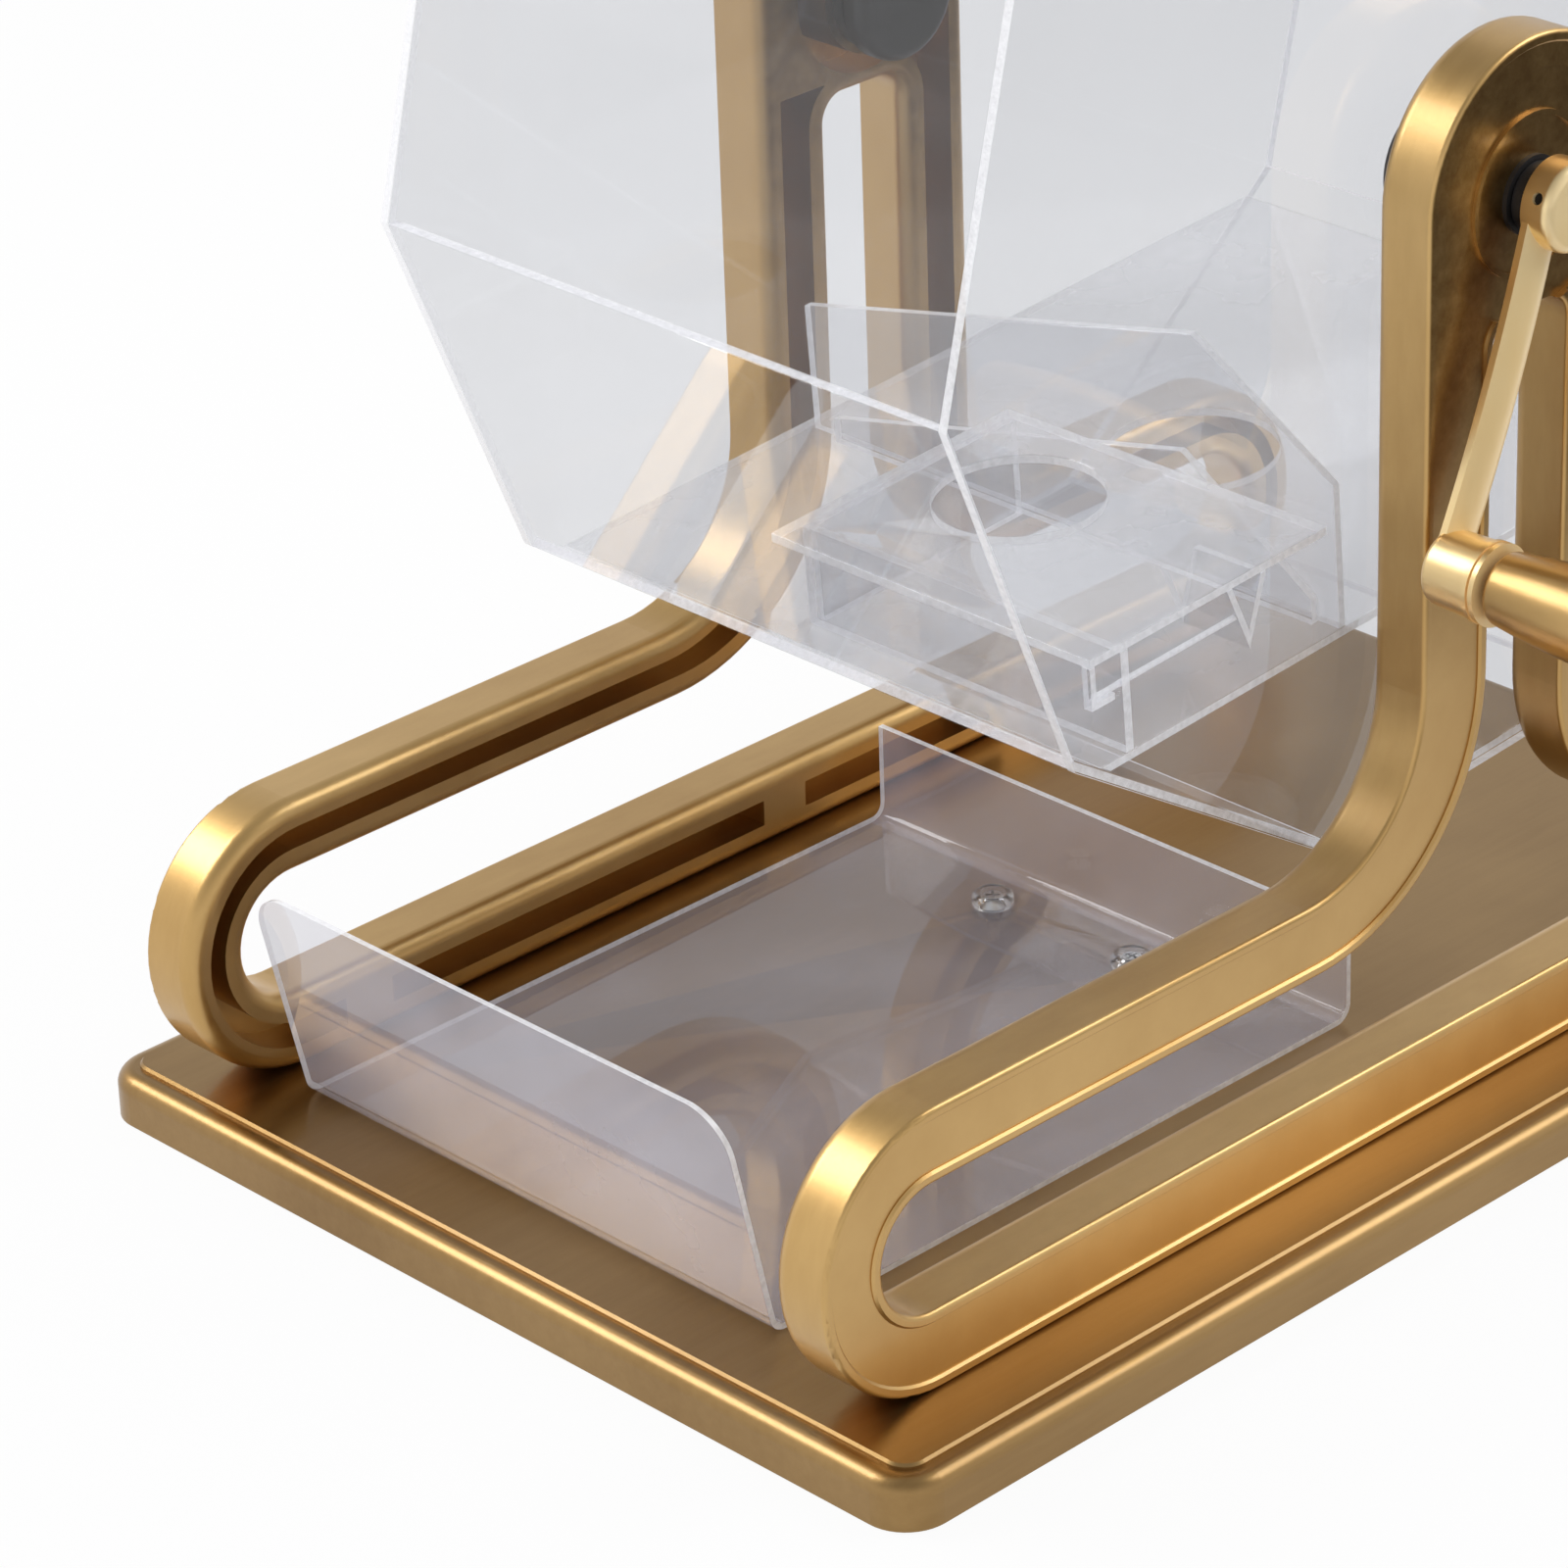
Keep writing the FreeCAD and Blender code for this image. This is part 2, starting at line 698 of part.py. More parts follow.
def make_trap_wall():
    """Tall wall along the drum with a peaked top edge."""
    left_x = wall_left_gap - drum_inner_x
    corners = [(left_x, partition_z), (drum_inner_x, partition_z),
               (drum_inner_x, partition_z + wall_right_height),
               (drum_inner_x - wall_peak_from_end, partition_z + wall_peak_height),
               (left_x, partition_z + wall_left_height)]
    return on_drum(y_plate(corners, trap_back_y, trap_back_y + sheet))


def make_trap_guard():
    """Lower peaked plate glued to the front of the tall wall, over the trap."""
    left_x = guard_left_gap - drum_inner_x
    right_x = drum_inner_x - guard_right_gap
    corners = [(left_x, partition_z), (right_x, partition_z),
               (right_x, partition_z + guard_end_height),
               (drum_inner_x - guard_peak_from_end, partition_z + guard_peak_height),
               (left_x, partition_z + guard_end_height)]
    return on_drum(y_plate(corners, trap_back_y - sheet, trap_back_y))


def make_trap_lid():
    """Lid of the trap with the catching hole."""
    lid = block(trap_left_x, drum_inner_x, trap_front_y - trap_lid_overhang, trap_back_y - sheet,
                trap_lid_under, trap_top_z)
    hole = z_cylinder(trap_hole_radius, trap_lid_under, trap_top_z,
                      drum_inner_x - trap_hole_from_end, trap_front_y + trap_hole_from_front)
    return on_drum(lid.cut(hole))


def make_trap_front():
    """Front wall of the trap, under its lid, with a hole for the rod."""
    wall = block(trap_left_x, drum_inner_x, trap_front_y, trap_front_y + sheet,
                 partition_z, trap_lid_under)
    hole = rod_cylinder(rod_radius + glue_gap, trap_front_y, trap_front_y + sheet)
    return on_drum(wall.cut(hole))


def rod_cylinder(radius, y_start, y_end):
    """Cylinder on the rod's line."""
    centre = Vector(drum_inner_x - rod_inset - rod_radius, y_start, trap_lid_under - rod_drop)
    return Part.makeCylinder(radius, y_end - y_start, centre, Vector(0, 1, 0))


def make_trap_side():
    """Left wall of the trap."""
    return on_drum(block(trap_left_x, trap_left_x + sheet, trap_front_y + sheet,
                         trap_back_y - sheet, partition_z, trap_lid_under))


def bracket_profile(inset):
    """Downward triangle of the bracket in the YZ plane, moved inwards by inset."""
    slant = math.hypot(bracket_half_width, bracket_depth)
    half = bracket_half_width - inset * slant / bracket_depth
    depth = bracket_depth - inset * slant / bracket_half_width
    return [(bracket_y - half, trap_lid_under, 0), (bracket_y + half, trap_lid_under, 0),
            (bracket_y, trap_lid_under - depth, 0)]


def make_trap_bracket():
    """Bent V strip under the lid, against the drum's right end plate."""
    start_x = drum_inner_x - bracket_length
    outside = x_prism(bracket_profile(0), start_x, drum_inner_x)
    return on_drum(outside.cut(x_prism(bracket_profile(small_sheet), start_x, drum_inner_x)))


def make_trap_hook():
    """Hook at the lid's front corner that carries the rod's front end."""
    hook_y = trap_front_y - trap_lid_overhang
    foot_z = trap_lid_under - rod_drop - rod_radius
    start_x = drum_inner_x - hook_width
    stem = block(start_x, drum_inner_x, hook_y, hook_y + small_sheet,
                 foot_z - small_sheet, trap_lid_under)
    foot = block(start_x, drum_inner_x, hook_y, hook_y + hook_foot,
                 foot_z - small_sheet, foot_z)
    return on_drum(stem.fuse(foot))


def make_trap_rod():
    """Thin rod from the hook's stem to the bracket."""
    rod = rod_cylinder(rod_radius, trap_front_y - trap_lid_overhang + small_sheet, bracket_y)
    cutter = x_prism(bracket_profile(0), drum_inner_x - bracket_length, drum_inner_x)
    return on_drum(rod.cut(cutter))


# --- Filling hatch --------------------------------------------------------------------------

hinge_y = hatch_open_y / 2 + hatch_lap + hinge_barrel_radius + side_gap
hinge_z = side_gap + sheet + hinge_leaf


def hinge_barrel(x_start, x_end):
    """Knuckle around the hinge line, with its bore."""
    barrel = x_cylinder(hinge_barrel_radius, x_start, x_end, hinge_y, hinge_z)
    return barrel.cut(x_cylinder(hinge_pin_radius + running_gap, x_start, x_end, hinge_y, hinge_z))


def hinge_centres():
    """X positions of the two hinges."""
    return (-hinge_spacing / 2, hinge_spacing / 2)


def make_hinge_fixed():
    """Leaves on the drum's face: a foot, and a knuckle at each side of the hinge."""
    leaves = []
    third = hinge_width / 3
    for centre in hinge_centres():
        low = centre - hinge_width / 2
        foot = block(low, low + hinge_width, hinge_y + hinge_barrel_radius - hinge_leaf,
                     hinge_y + hinge_barrel_radius + hinge_leaf_reach, 0, hinge_leaf)
        leaf = foot
        for start in (low, low + 2 * third):
            post = block(start, start + third, hinge_y + hinge_barrel_radius - hinge_leaf,
                         hinge_y + hinge_barrel_radius, 0, hinge_z)
            leaf = leaf.fuse(post).fuse(hinge_barrel(start, start + third))
        leaf = leaf.cut(x_cylinder(hinge_pin_radius + running_gap, low, low + hinge_width,
                                   hinge_y, hinge_z))
        leaves.append(on_face(leaf, hatch_face))
    return Part.makeCompound(leaves)


def make_hinge_moving():
    """Leaves on the hatch: a strap and the middle knuckle."""
    leaves = []
    third = hinge_width / 3
    for centre in hinge_centres():
        start = centre - third / 2 + side_gap
        end = centre + third / 2 - side_gap
        strap_z = side_gap + sheet
        strap = block(start, end, hinge_y - hinge_barrel_radius - side_gap - hinge_leaf_reach,
                      hinge_y, strap_z, strap_z + hinge_leaf)
        barrel = hinge_barrel(start, end)
        leaf = strap.fuse(barrel)
        leaf = leaf.cut(x_cylinder(hinge_pin_radius + running_gap, start, end, hinge_y, hinge_z))
        leaves.append(on_face(leaf, hatch_face))
    return Part.makeCompound(leaves)


def make_hinge_pins():
    pins = []
    for centre in hinge_centres():
        pin = x_cylinder(hinge_pin_radius, centre - hinge_width / 2, centre + hinge_width / 2,
                         hinge_y, hinge_z)
        pins.append(on_face(pin, hatch_face))
    return Part.makeCompound(pins)


def make_hatch():
    """Clear plate that laps the opening all round."""
    return on_face(hatch_outline(hatch_lap, side_gap, side_gap + sheet), hatch_face)


def make_hatch_knob():
    """Turned pull knob near the hatch's lower edge."""
    base_z = side_gap + sheet
    y = -hatch_open_y / 4
    neck = z_cylinder(knob_neck_radius, base_z, base_z + knob_height / 2, 0, y)
    head = z_cylinder(knob_radius, base_z + knob_height / 2, base_z + knob_height, 0, y)
    head = head.makeFillet(knob_edge, edges_at(head, "Z", base_z + knob_height / 2)
                           + edges_at(head, "Z", base_z + knob_height))
    return on_face(neck.fuse(head), hatch_face)


latch_y = -(hatch_open_y / 2 + hatch_lap + latch_radius + side_gap)


def make_latch_stud():
    """Post and headed pin that the latch turns on."""
    latch_z = side_gap + sheet + side_gap
    post = z_cylinder(latch_radius, 0, latch_z - side_gap, 0, latch_y)
    pin = z_cylinder(latch_stud_radius, 0, latch_z + latch_thickness + side_gap, 0, latch_y)
    head_z = latch_z + latch_thickness + side_gap
    head = z_cylinder(latch_stud_head_radius, head_z, head_z + latch_stud_head_height, 0, latch_y)
    return on_face(post.fuse([pin, head]), hatch_face)


def make_latch():
    """Turn button, resting along the hatch's edge; a quarter turn laps the hatch."""
    latch_z = side_gap + sheet + side_gap
    signs = ((0, -1), (1, -1), (1, 1), (0, 1))
    corners = [(Vector(sx * latch_reach, latch_y + sy * latch_radius, latch_z), latch_radius * sx)
               for sx, sy in signs]
    tongue = Part.Face(rounded_wire(corners)).extrude(Vector(0, 0, latch_thickness))
    hub = z_cylinder(latch_radius, latch_z, latch_z + latch_thickness, 0, latch_y)
    button = tongue.fuse(hub)
    button = button.cut(z_cylinder(latch_stud_radius + running_gap, latch_z,
                                   latch_z + latch_thickness, 0, latch_y))
    return on_face(button, hatch_face)


# --- Draw tray --------------------------------------------------------------------------------

def tray_section(offset):
    """Path of the bent sheet at offset above its underside, as (y, z, radius)."""
    lean = math.radians(tray_lip_lean)
    lip_top_y = tray_front_y - tray_lip_height * math.tan(lean)
    corner_y = tray_front_y + offset * (1 - math.sin(lean)) / math.cos(lean)
    slant = offset / math.cos(lean)
    return [
        (lip_top_y + slant, base_top + tray_lip_height, 0),
        (corner_y, base_top + offset, max(tray_bend_radius - offset, 0.5)),
        (tray_back_y - offset, base_top + offset, max(tray_bend_radius - offset, 0.5)),
        (tray_back_y - offset, base_top + tray_back_height, 0),
    ]


def make_tray():
    """Bent sheet: leaning front lip with round corners, flat floor, low back wall."""
    outline = tray_section(0) + tray_section(tray_sheet)[::-1]
    tray = x_prism(outline, tray_left_x, tray_right_x)
    lip_y = tray_front_y - tray_lip_height
    cutter_height = base_top + tray_lip_height
    for corner_x, side in ((tray_left_x, -1), (tray_right_x, 1)):
        inner_x = corner_x - side * tray_corner_radius
        low_z = cutter_height - tray_corner_radius
        corner = block(min(corner_x, inner_x), max(corner_x, inner_x), lip_y, tray_front_y,
                       low_z, cutter_height)
        round_off = Part.makeCylinder(tray_corner_radius, tray_front_y - lip_y,
                                      Vector(inner_x, lip_y, low_z), Vector(0, 1, 0))
        tray = tray.cut(corner.cut(round_off))
    for x in tray_screw_x():
        tray = tray.cut(z_cylinder(tray_screw_radius, base_top, tray_floor, x, tray_screw_y))
    return tray


def tray_screw_x():
    """X positions of the two tray screws."""
    middle_x = (tray_left_x + tray_right_x) / 2
    return [middle_x + side * tray_screw_spacing / 2 for side in (-1, 1)]


def make_tray_screws():
    screws = []
    for x in tray_screw_x():
        shank = z_cylinder(tray_screw_radius, tray_floor - tray_screw_length, tray_floor,
                           x, tray_screw_y)
        head = z_cylinder(tray_screw_head_radius, tray_floor,
                          tray_floor + tray_screw_head_height, x, tray_screw_y)
        screws.append(shank.fuse(head))
    return Part.makeCompound(screws)


def make_tray_caps():
    """Clear domed caps over the screw heads."""
    caps = []
    top_z = tray_floor + tray_cap_height
    for x in tray_screw_x():
        cap = z_cylinder(tray_cap_radius, tray_floor, top_z, x, tray_screw_y)
        cap = cap.makeFillet(tray_cap_height / 2, edges_at(cap, "Z", top_z))
        room = z_cylinder(tray_screw_head_radius + glue_gap, tray_floor,
                          top_z - tray_cap_wall, x, tray_screw_y)
        caps.append(cap.cut(room))
    return Part.makeCompound(caps)


# --- Build every node -------------------------------------------------------------------------

frame = make_frame()
bush = make_bush()
save(make_base(), "base_plate")
save(make_frame_screws(), "frame_screws")
save(frame, "frame_right")
save(mirrored(frame), "frame_left")
save(bush, "bush_right")
save(mirrored(bush), "bush_left")
save(make_tray(), "tray")
save(make_tray_screws(), "tray_screws")
save(make_tray_caps(), "tray_caps")

for piece, node in ((make_end_plate(), "end_plate"), (make_outer_flange(), "outer_flange"),
                    (make_inner_flange(), "inner_flange"), (make_flange_screws(), "flange_screws"),
                    (make_spacer(), "axle_spacer")):
    save(piece, node + "_right")
    save(mirrored(piece), node + "_left")
save(make_axle(crank_outer_x - crank_head_edge), "axle_right")
save(mirrored(make_axle(crank_inner_x + end_cap_thickness / 2)), "axle_left")
save(mirrored(make_end_cap()), "axle_cap")

for face in range(drum_sides):
    panel = make_side_panel(face)
    if face == hatch_face:
        panel = panel.cut(on_face(hatch_outline(0, -sheet, 0), face))
    save(panel, "panel_%d" % face)

save(make_partition(), "partition")
save(make_trap_wall(), "trap_wall")
save(make_trap_guard(), "trap_guard")
save(make_trap_lid(), "trap_lid")
save(make_trap_front(), "trap_front")
save(make_trap_side(), "trap_side")
save(make_trap_bracket(), "trap_bracket")
save(make_trap_hook(), "trap_hook")
save(make_trap_rod(), "trap_rod")

save(make_hatch(), "hatch")
save(make_hatch_knob(), "hatch_knob")
save(make_hinge_fixed(), "hinge_fixed")
save(make_hinge_moving(), "hinge_moving")
save(make_hinge_pins(), "hinge_pins")
save(make_latch_stud(), "latch_stud")
save(make_latch(), "latch")

save(make_crank_arm(), "crank_arm")
save(set_screw_bore(axle_radius + crank_head_wall - set_screw_sink), "set_screw")
save(make_spindle(), "grip_spindle")
save(make_grip(), "grip")
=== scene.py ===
import math

import bmesh
import bpy
from mathutils import Matrix, Vector


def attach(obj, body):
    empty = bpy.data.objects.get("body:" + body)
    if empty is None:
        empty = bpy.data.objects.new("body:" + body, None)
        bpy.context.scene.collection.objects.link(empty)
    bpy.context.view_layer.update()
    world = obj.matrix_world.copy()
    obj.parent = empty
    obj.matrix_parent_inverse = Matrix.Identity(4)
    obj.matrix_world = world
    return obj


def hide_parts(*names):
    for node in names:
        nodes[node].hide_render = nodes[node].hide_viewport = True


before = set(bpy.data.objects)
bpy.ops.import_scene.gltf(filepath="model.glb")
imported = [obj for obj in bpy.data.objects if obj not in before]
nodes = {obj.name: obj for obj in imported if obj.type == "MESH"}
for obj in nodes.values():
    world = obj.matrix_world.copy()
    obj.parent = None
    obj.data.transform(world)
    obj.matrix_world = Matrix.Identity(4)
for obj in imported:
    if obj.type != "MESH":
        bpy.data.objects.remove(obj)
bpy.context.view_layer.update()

scene = bpy.context.scene

# --- Table, lamps and camera --------------------------------------------------------------
# A white table top that runs on out of sight, two large soft lamps above the drum, one at its
# front left and one behind it on the right, and an even white room. Mirrors show the ceiling
# and the table's far right end darker, which gives the gold its depth.

camera_place = (1.1444, -1.1923, 0.9198)
camera_azimuth = 45.665
camera_elevation = 26.3
camera_roll = -1.601
camera_lens = 143.37
camera_sensor = 36.0
camera_shift = (-0.0625, -0.05)
camera_near = 0.05

camera_data = bpy.data.cameras.new("camera")
camera_data.lens = camera_lens
camera_data.sensor_width = camera_sensor
camera_data.shift_x, camera_data.shift_y = camera_shift
camera_data.clip_start = camera_near
camera = bpy.data.objects.new("camera", camera_data)
scene.collection.objects.link(camera)
turned = Matrix.Rotation(math.radians(camera_azimuth), 3, "Z")
tipped = Matrix.Rotation(math.radians(90.0 - camera_elevation), 3, "X")
rolled = Matrix.Rotation(math.radians(camera_roll), 3, "Z")
camera.rotation_euler = (turned @ tipped @ rolled).to_euler()
camera.location = camera_place
scene.camera = camera
scene.view_settings.view_transform = "Standard"
scene.cycles.transparent_max_bounces = 48
scene.cycles.max_bounces = 14
scene.cycles.transmission_bounces = 14


def mix_node(tree, kind, factor, first, second):
    """Mix node of a kind, such as RGBA or FLOAT; its three inputs are values or sockets."""
    mix = tree.nodes.new("ShaderNodeMix")
    mix.data_type = kind
    names = {"RGBA": ("Factor_Float", "A_Color", "B_Color", "Result_Color"),
             "FLOAT": ("Factor_Float", "A_Float", "B_Float", "Result_Float")}[kind]
    sockets = {s.identifier: s for s in list(mix.inputs) + list(mix.outputs)}
    for name, value in zip(names, (factor, first, second)):
        put(tree, value, sockets[name])
    return sockets[names[3]]


def put(tree, value, socket):
    """Join a socket to an input, or write a plain value in it."""
    if isinstance(value, bpy.types.NodeSocket):
        tree.links.new(value, socket)
    else:
        socket.default_value = value


def math_node(tree, operation, first, second=0.0, third=0.0):
    """Math node whose inputs are values or sockets."""
    node = tree.nodes.new("ShaderNodeMath")
    node.operation = operation
    for value, socket in zip((first, second, third), node.inputs):
        put(tree, value, socket)
    return node.outputs["Value"]


def range_node(tree, value, low, high, new_low=0.0, new_high=1.0):
    """Map Range with its ends held."""
    node = tree.nodes.new("ShaderNodeMapRange")
    for source, socket in zip((value, low, high, new_low, new_high), node.inputs):
        put(tree, source, socket)
    return node.outputs["Result"]


def seen_directly(tree):
    """1 for what the camera, a mirror or clear sheet shows, 0 for plain lighting."""
    path = tree.nodes.new("ShaderNodeLightPath")
    straight = math_node(tree, "MAXIMUM", path.outputs["Is Camera Ray"],
                         path.outputs["Is Transmission Ray"])
    return math_node(tree, "MAXIMUM", straight, path.outputs["Is Glossy Ray"])


room_light = 0.55
ceiling_light = 0.45
walls_up_to = 0.2
ceiling_from = 0.75
room = bpy.data.worlds.new("room")
room.use_nodes = True
scene.world = room
backdrop = room.node_tree.nodes["Background"]
backdrop.inputs["Color"].default_value = (1.0, 1.0, 1.0, 1.0)
tree = room.node_tree
strength = mix_node(tree, "FLOAT", seen_directly(tree), room_light, 1.0)
look = tree.nodes.new("ShaderNodeSeparateXYZ")
tree.links.new(tree.nodes.new("ShaderNodeTexCoord").outputs["Generated"], look.inputs["Vector"])
mirrored_room = range_node(tree, look.outputs["Z"], walls_up_to, ceiling_from, 1.0, ceiling_light)
in_mirror = tree.nodes.new("ShaderNodeLightPath").outputs["Is Glossy Ray"]
strength = mix_node(tree, "FLOAT", in_mirror, strength, mirrored_room)
tree.links.new(strength, backdrop.inputs["Strength"])

lamp_distance = 1.7
lamp_target = Vector((0.0, 0.0, 0.2))
lamps = {  # direction, size and power
    "front_lamp": ((-0.65, -0.46, 0.61), 0.8, 14.0),
    "rear_lamp": ((0.46, 0.61, 0.65), 0.9, 10.0),
}
for name, (direction, size, power) in lamps.items():
    lamp = bpy.data.lights.new(name, "AREA")
    lamp.size = size
    lamp.energy = power
    holder = bpy.data.objects.new(name, lamp)
    towards = Vector(direction).normalized()
    holder.location = lamp_target + towards * lamp_distance
    holder.rotation_euler = towards.to_track_quat("Z", "Y").to_euler()
    scene.collection.objects.link(holder)


def new_material(name):
    """Empty material with its output node; returns the material and its tree."""
    material = bpy.data.materials.new(name)
    material.use_nodes = True
    material.node_tree.nodes.clear()
    material.node_tree.nodes.new("ShaderNodeOutputMaterial")
    return material, material.node_tree


def output_of(tree):
    """The material's output node."""
    return next(n for n in tree.nodes if n.type == "OUTPUT_MATERIAL")


table_reach = 30.0
table_drop = 0.0005
table_colour = (0.86, 0.86, 0.87, 1.0)
table_glow = 0.94
mirrored_glow = 0.55
mirror_bright_to = 0.42
mirror_dark_from = 0.66
mirror_dark = 0.9
mirror_dark_way = (0.8, 0.6, 0.0)
table_material, tree = new_material("table_white")
paint = tree.nodes.new("ShaderNodeBsdfPrincipled")
paint.inputs["Roughness"].default_value = 0.9
paint.inputs["Specular IOR Level"].default_value = 0.0
paint.inputs["Base Color"].default_value = table_colour
glow = tree.nodes.new("ShaderNodeEmission")
blend = tree.nodes.new("ShaderNodeMixShader")
in_mirror = tree.nodes.new("ShaderNodeLightPath").outputs["Is Glossy Ray"]
level = mix_node(tree, "FLOAT", in_mirror, table_glow, mirrored_glow)
share = math_node(tree, "MULTIPLY", seen_directly(tree), level)
tree.links.new(share, blend.inputs["Fac"])
tree.links.new(paint.outputs["BSDF"], blend.inputs[1])
tree.links.new(glow.outputs["Emission"], blend.inputs[2])
away = tree.nodes.new("ShaderNodeVectorMath")
away.operation = "DOT_PRODUCT"
tree.links.new(tree.nodes.new("ShaderNodeTexCoord").outputs["Object"], away.inputs[0])
away.inputs[1].default_value = mirror_dark_way
far_off = range_node(tree, away.outputs["Value"], mirror_bright_to, mirror_dark_from, 0.0,
                     mirror_dark)
shade = tree.nodes.new("ShaderNodeMixShader")
tree.links.new(math_node(tree, "MULTIPLY", in_mirror, far_off), shade.inputs["Fac"])
tree.links.new(blend.outputs["Shader"], shade.inputs[1])
tree.links.new(shade.outputs["Shader"], output_of(tree).inputs["Surface"])

table_mesh = bpy.data.meshes.new("table_top")
corners = [(sx * table_reach, sy * table_reach, -table_drop)
           for sx, sy in ((-1, -1), (1, -1), (1, 1), (-1, 1))]
table_mesh.from_pydata(corners, [], [(0, 1, 2, 3)])
table_mesh.materials.append(table_material)
table_top = bpy.data.objects.new("table_top", table_mesh)
scene.collection.objects.link(table_top)

# --- Base plate ---------------------------------------------------------------------------
# A moulded plate with a raised shoulder, sprayed in antique gold and rubbed back by hand, so
# that fine streaks run along it and the colour drifts between pale and deep gold. Its gold is a
# darker copy of the frames' gold, painted shade for the plate's low place by the table.

# painted shade: the base's pale and deep gold are darker copies of the frames' gold
base_shaded_pale = (0.40, 0.25, 0.095, 1.0)
base_shaded_deep = (0.27, 0.155, 0.05, 1.0)
# painted shade: the brown mixed into the frames' flats round the hub
painted_shade_brown = (0.20, 0.10, 0.022, 1.0)
drift_scale = 9.0
streak_scale = 90.0
grain_scale = 900.0
drift_share = 0.7
streak_roughness = 0.1
grain_roughness = 0.08
grain_height = 0.35
lacquer_weight = 0.35
lacquer_roughness = 0.14


def new_group(name, inputs, outputs):
    """Shader node group with named sockets; returns it with its input and output nodes."""
    group = bpy.data.node_groups.new(name, "ShaderNodeTree")
    for label, kind, value in inputs:
        socket = group.interface.new_socket(label, in_out="INPUT", socket_type=kind)
        if value is not None:
            socket.default_value = value
    for label, kind in outputs:
        group.interface.new_socket(label, in_out="OUTPUT", socket_type=kind)
    return group, group.nodes.new("NodeGroupInput"), group.nodes.new("NodeGroupOutput")


def noise_node(tree, vector, scale, detail=3.0, roughness=0.5):
    """Noise texture's grey value; the vector and the scale are values or sockets."""
    noise = tree.nodes.new("ShaderNodeTexNoise")
    noise.inputs["Detail"].default_value = detail
    noise.inputs["Roughness"].default_value = roughness
    put(tree, vector, noise.inputs["Vector"])
    put(tree, scale, noise.inputs["Scale"])
    return noise.outputs["Fac"]


def build_rubbed_gold():
    """Group: colour, roughness and height of the sprayed, rubbed gold, with painted shade."""
    group, given, out = new_group(
        "rubbed_gold",
        [("Pale", "NodeSocketColor", base_shaded_pale), ("Deep", "NodeSocketColor", base_shaded_deep),
         ("Streaks", "NodeSocketVector", (1.0, 1.0, 1.0)),
         ("Least Roughness", "NodeSocketFloat", 0.0), ("Painted Shade", "NodeSocketFloat", 0.0)],
        [("Colour", "NodeSocketColor"), ("Roughness", "NodeSocketFloat"),
         ("Height", "NodeSocketFloat")])
    place = group.nodes.new("ShaderNodeTexCoord").outputs["Object"]
    stretch = group.nodes.new("ShaderNodeMapping")
    group.links.new(place, stretch.inputs["Vector"])
    group.links.new(given.outputs["Streaks"], stretch.inputs["Scale"])
    drift = noise_node(group, place, drift_scale, 4.0)
    streak = noise_node(group, stretch.outputs["Vector"], streak_scale, 4.0, 0.6)
    grain = noise_node(group, place, grain_scale, 2.0)
    cloud = range_node(group, drift, 0.32, 0.68)
    line = range_node(group, streak, 0.3, 0.75)
    cloudy = math_node(group, "MULTIPLY", cloud, drift_share)
    share = math_node(group, "MULTIPLY_ADD", line, 1.0 - drift_share, cloudy)
    colour = mix_node(group, "RGBA", share, given.outputs["Deep"], given.outputs["Pale"])
    # painted shade: brown mixed in as far as the shade input asks
    colour = mix_node(group, "RGBA", given.outputs["Painted Shade"], colour, painted_shade_brown)
    rough = math_node(group, "MULTIPLY_ADD", streak, streak_roughness,
                      given.outputs["Least Roughness"])
    rough = math_node(group, "MULTIPLY_ADD", grain, grain_roughness, rough)
    height = math_node(group, "MULTIPLY_ADD", grain, grain_height, streak)
    group.links.new(colour, out.inputs["Colour"])
    group.links.new(rough, out.inputs["Roughness"])
    group.links.new(height, out.inputs["Height"])
    return group


rubbed_gold = build_rubbed_gold()


def gold_material(name, pale, deep, streaks, roughness=0.28, relief=0.00004, metallic=1.0,
                  painted_shade=None):
    """Metal paint over the rubbed gold group, under a thin lacquer.

    The painted shade is a function that makes its nodes in the material's tree and gives the
    share of brown painted shade in the colour; the metallic share is such a function or a plain
    value.
    """
    material, tree = new_material(name)
    finish = tree.nodes.new("ShaderNodeGroup")
    finish.node_tree = rubbed_gold
    finish.inputs["Pale"].default_value = pale
    finish.inputs["Deep"].default_value = deep
    finish.inputs["Streaks"].default_value = streaks
    finish.inputs["Least Roughness"].default_value = roughness
    if painted_shade:
        put(tree, painted_shade(tree), finish.inputs["Painted Shade"])
    bump = tree.nodes.new("ShaderNodeBump")
    bump.inputs["Distance"].default_value = relief
    tree.links.new(finish.outputs["Height"], bump.inputs["Height"])
    gold = tree.nodes.new("ShaderNodeBsdfPrincipled")
    put(tree, metallic(tree) if callable(metallic) else metallic, gold.inputs["Metallic"])
    gold.inputs["Coat Weight"].default_value = lacquer_weight
    gold.inputs["Coat Roughness"].default_value = lacquer_roughness
    tree.links.new(finish.outputs["Colour"], gold.inputs["Base Color"])
    tree.links.new(finish.outputs["Roughness"], gold.inputs["Roughness"])
    tree.links.new(bump.outputs["Normal"], gold.inputs["Normal"])
    tree.links.new(gold.outputs["BSDF"], output_of(tree).inputs["Surface"])
    return material


def finish_nodes(material, *names):
    """Put one material in every slot of these parts."""
    for name in names:
        for slot in nodes[name].material_slots:
            slot.material = material


# the base's darker gold is painted shade
base_shaded_gold = gold_material("base_shaded_gold", base_shaded_pale, base_shaded_deep, (3.0, 0.25, 3.0))
finish_nodes(base_shaded_gold, "base_plate")

# --- Side frames --------------------------------------------------------------------------
# Two moulded loops, open to the drum along a U channel, with a ringed hub for the axle. They
# are sprayed and rubbed like the base, and brown painted shade darkens their flats round the
# hub, where the dished recess mirrors dark.

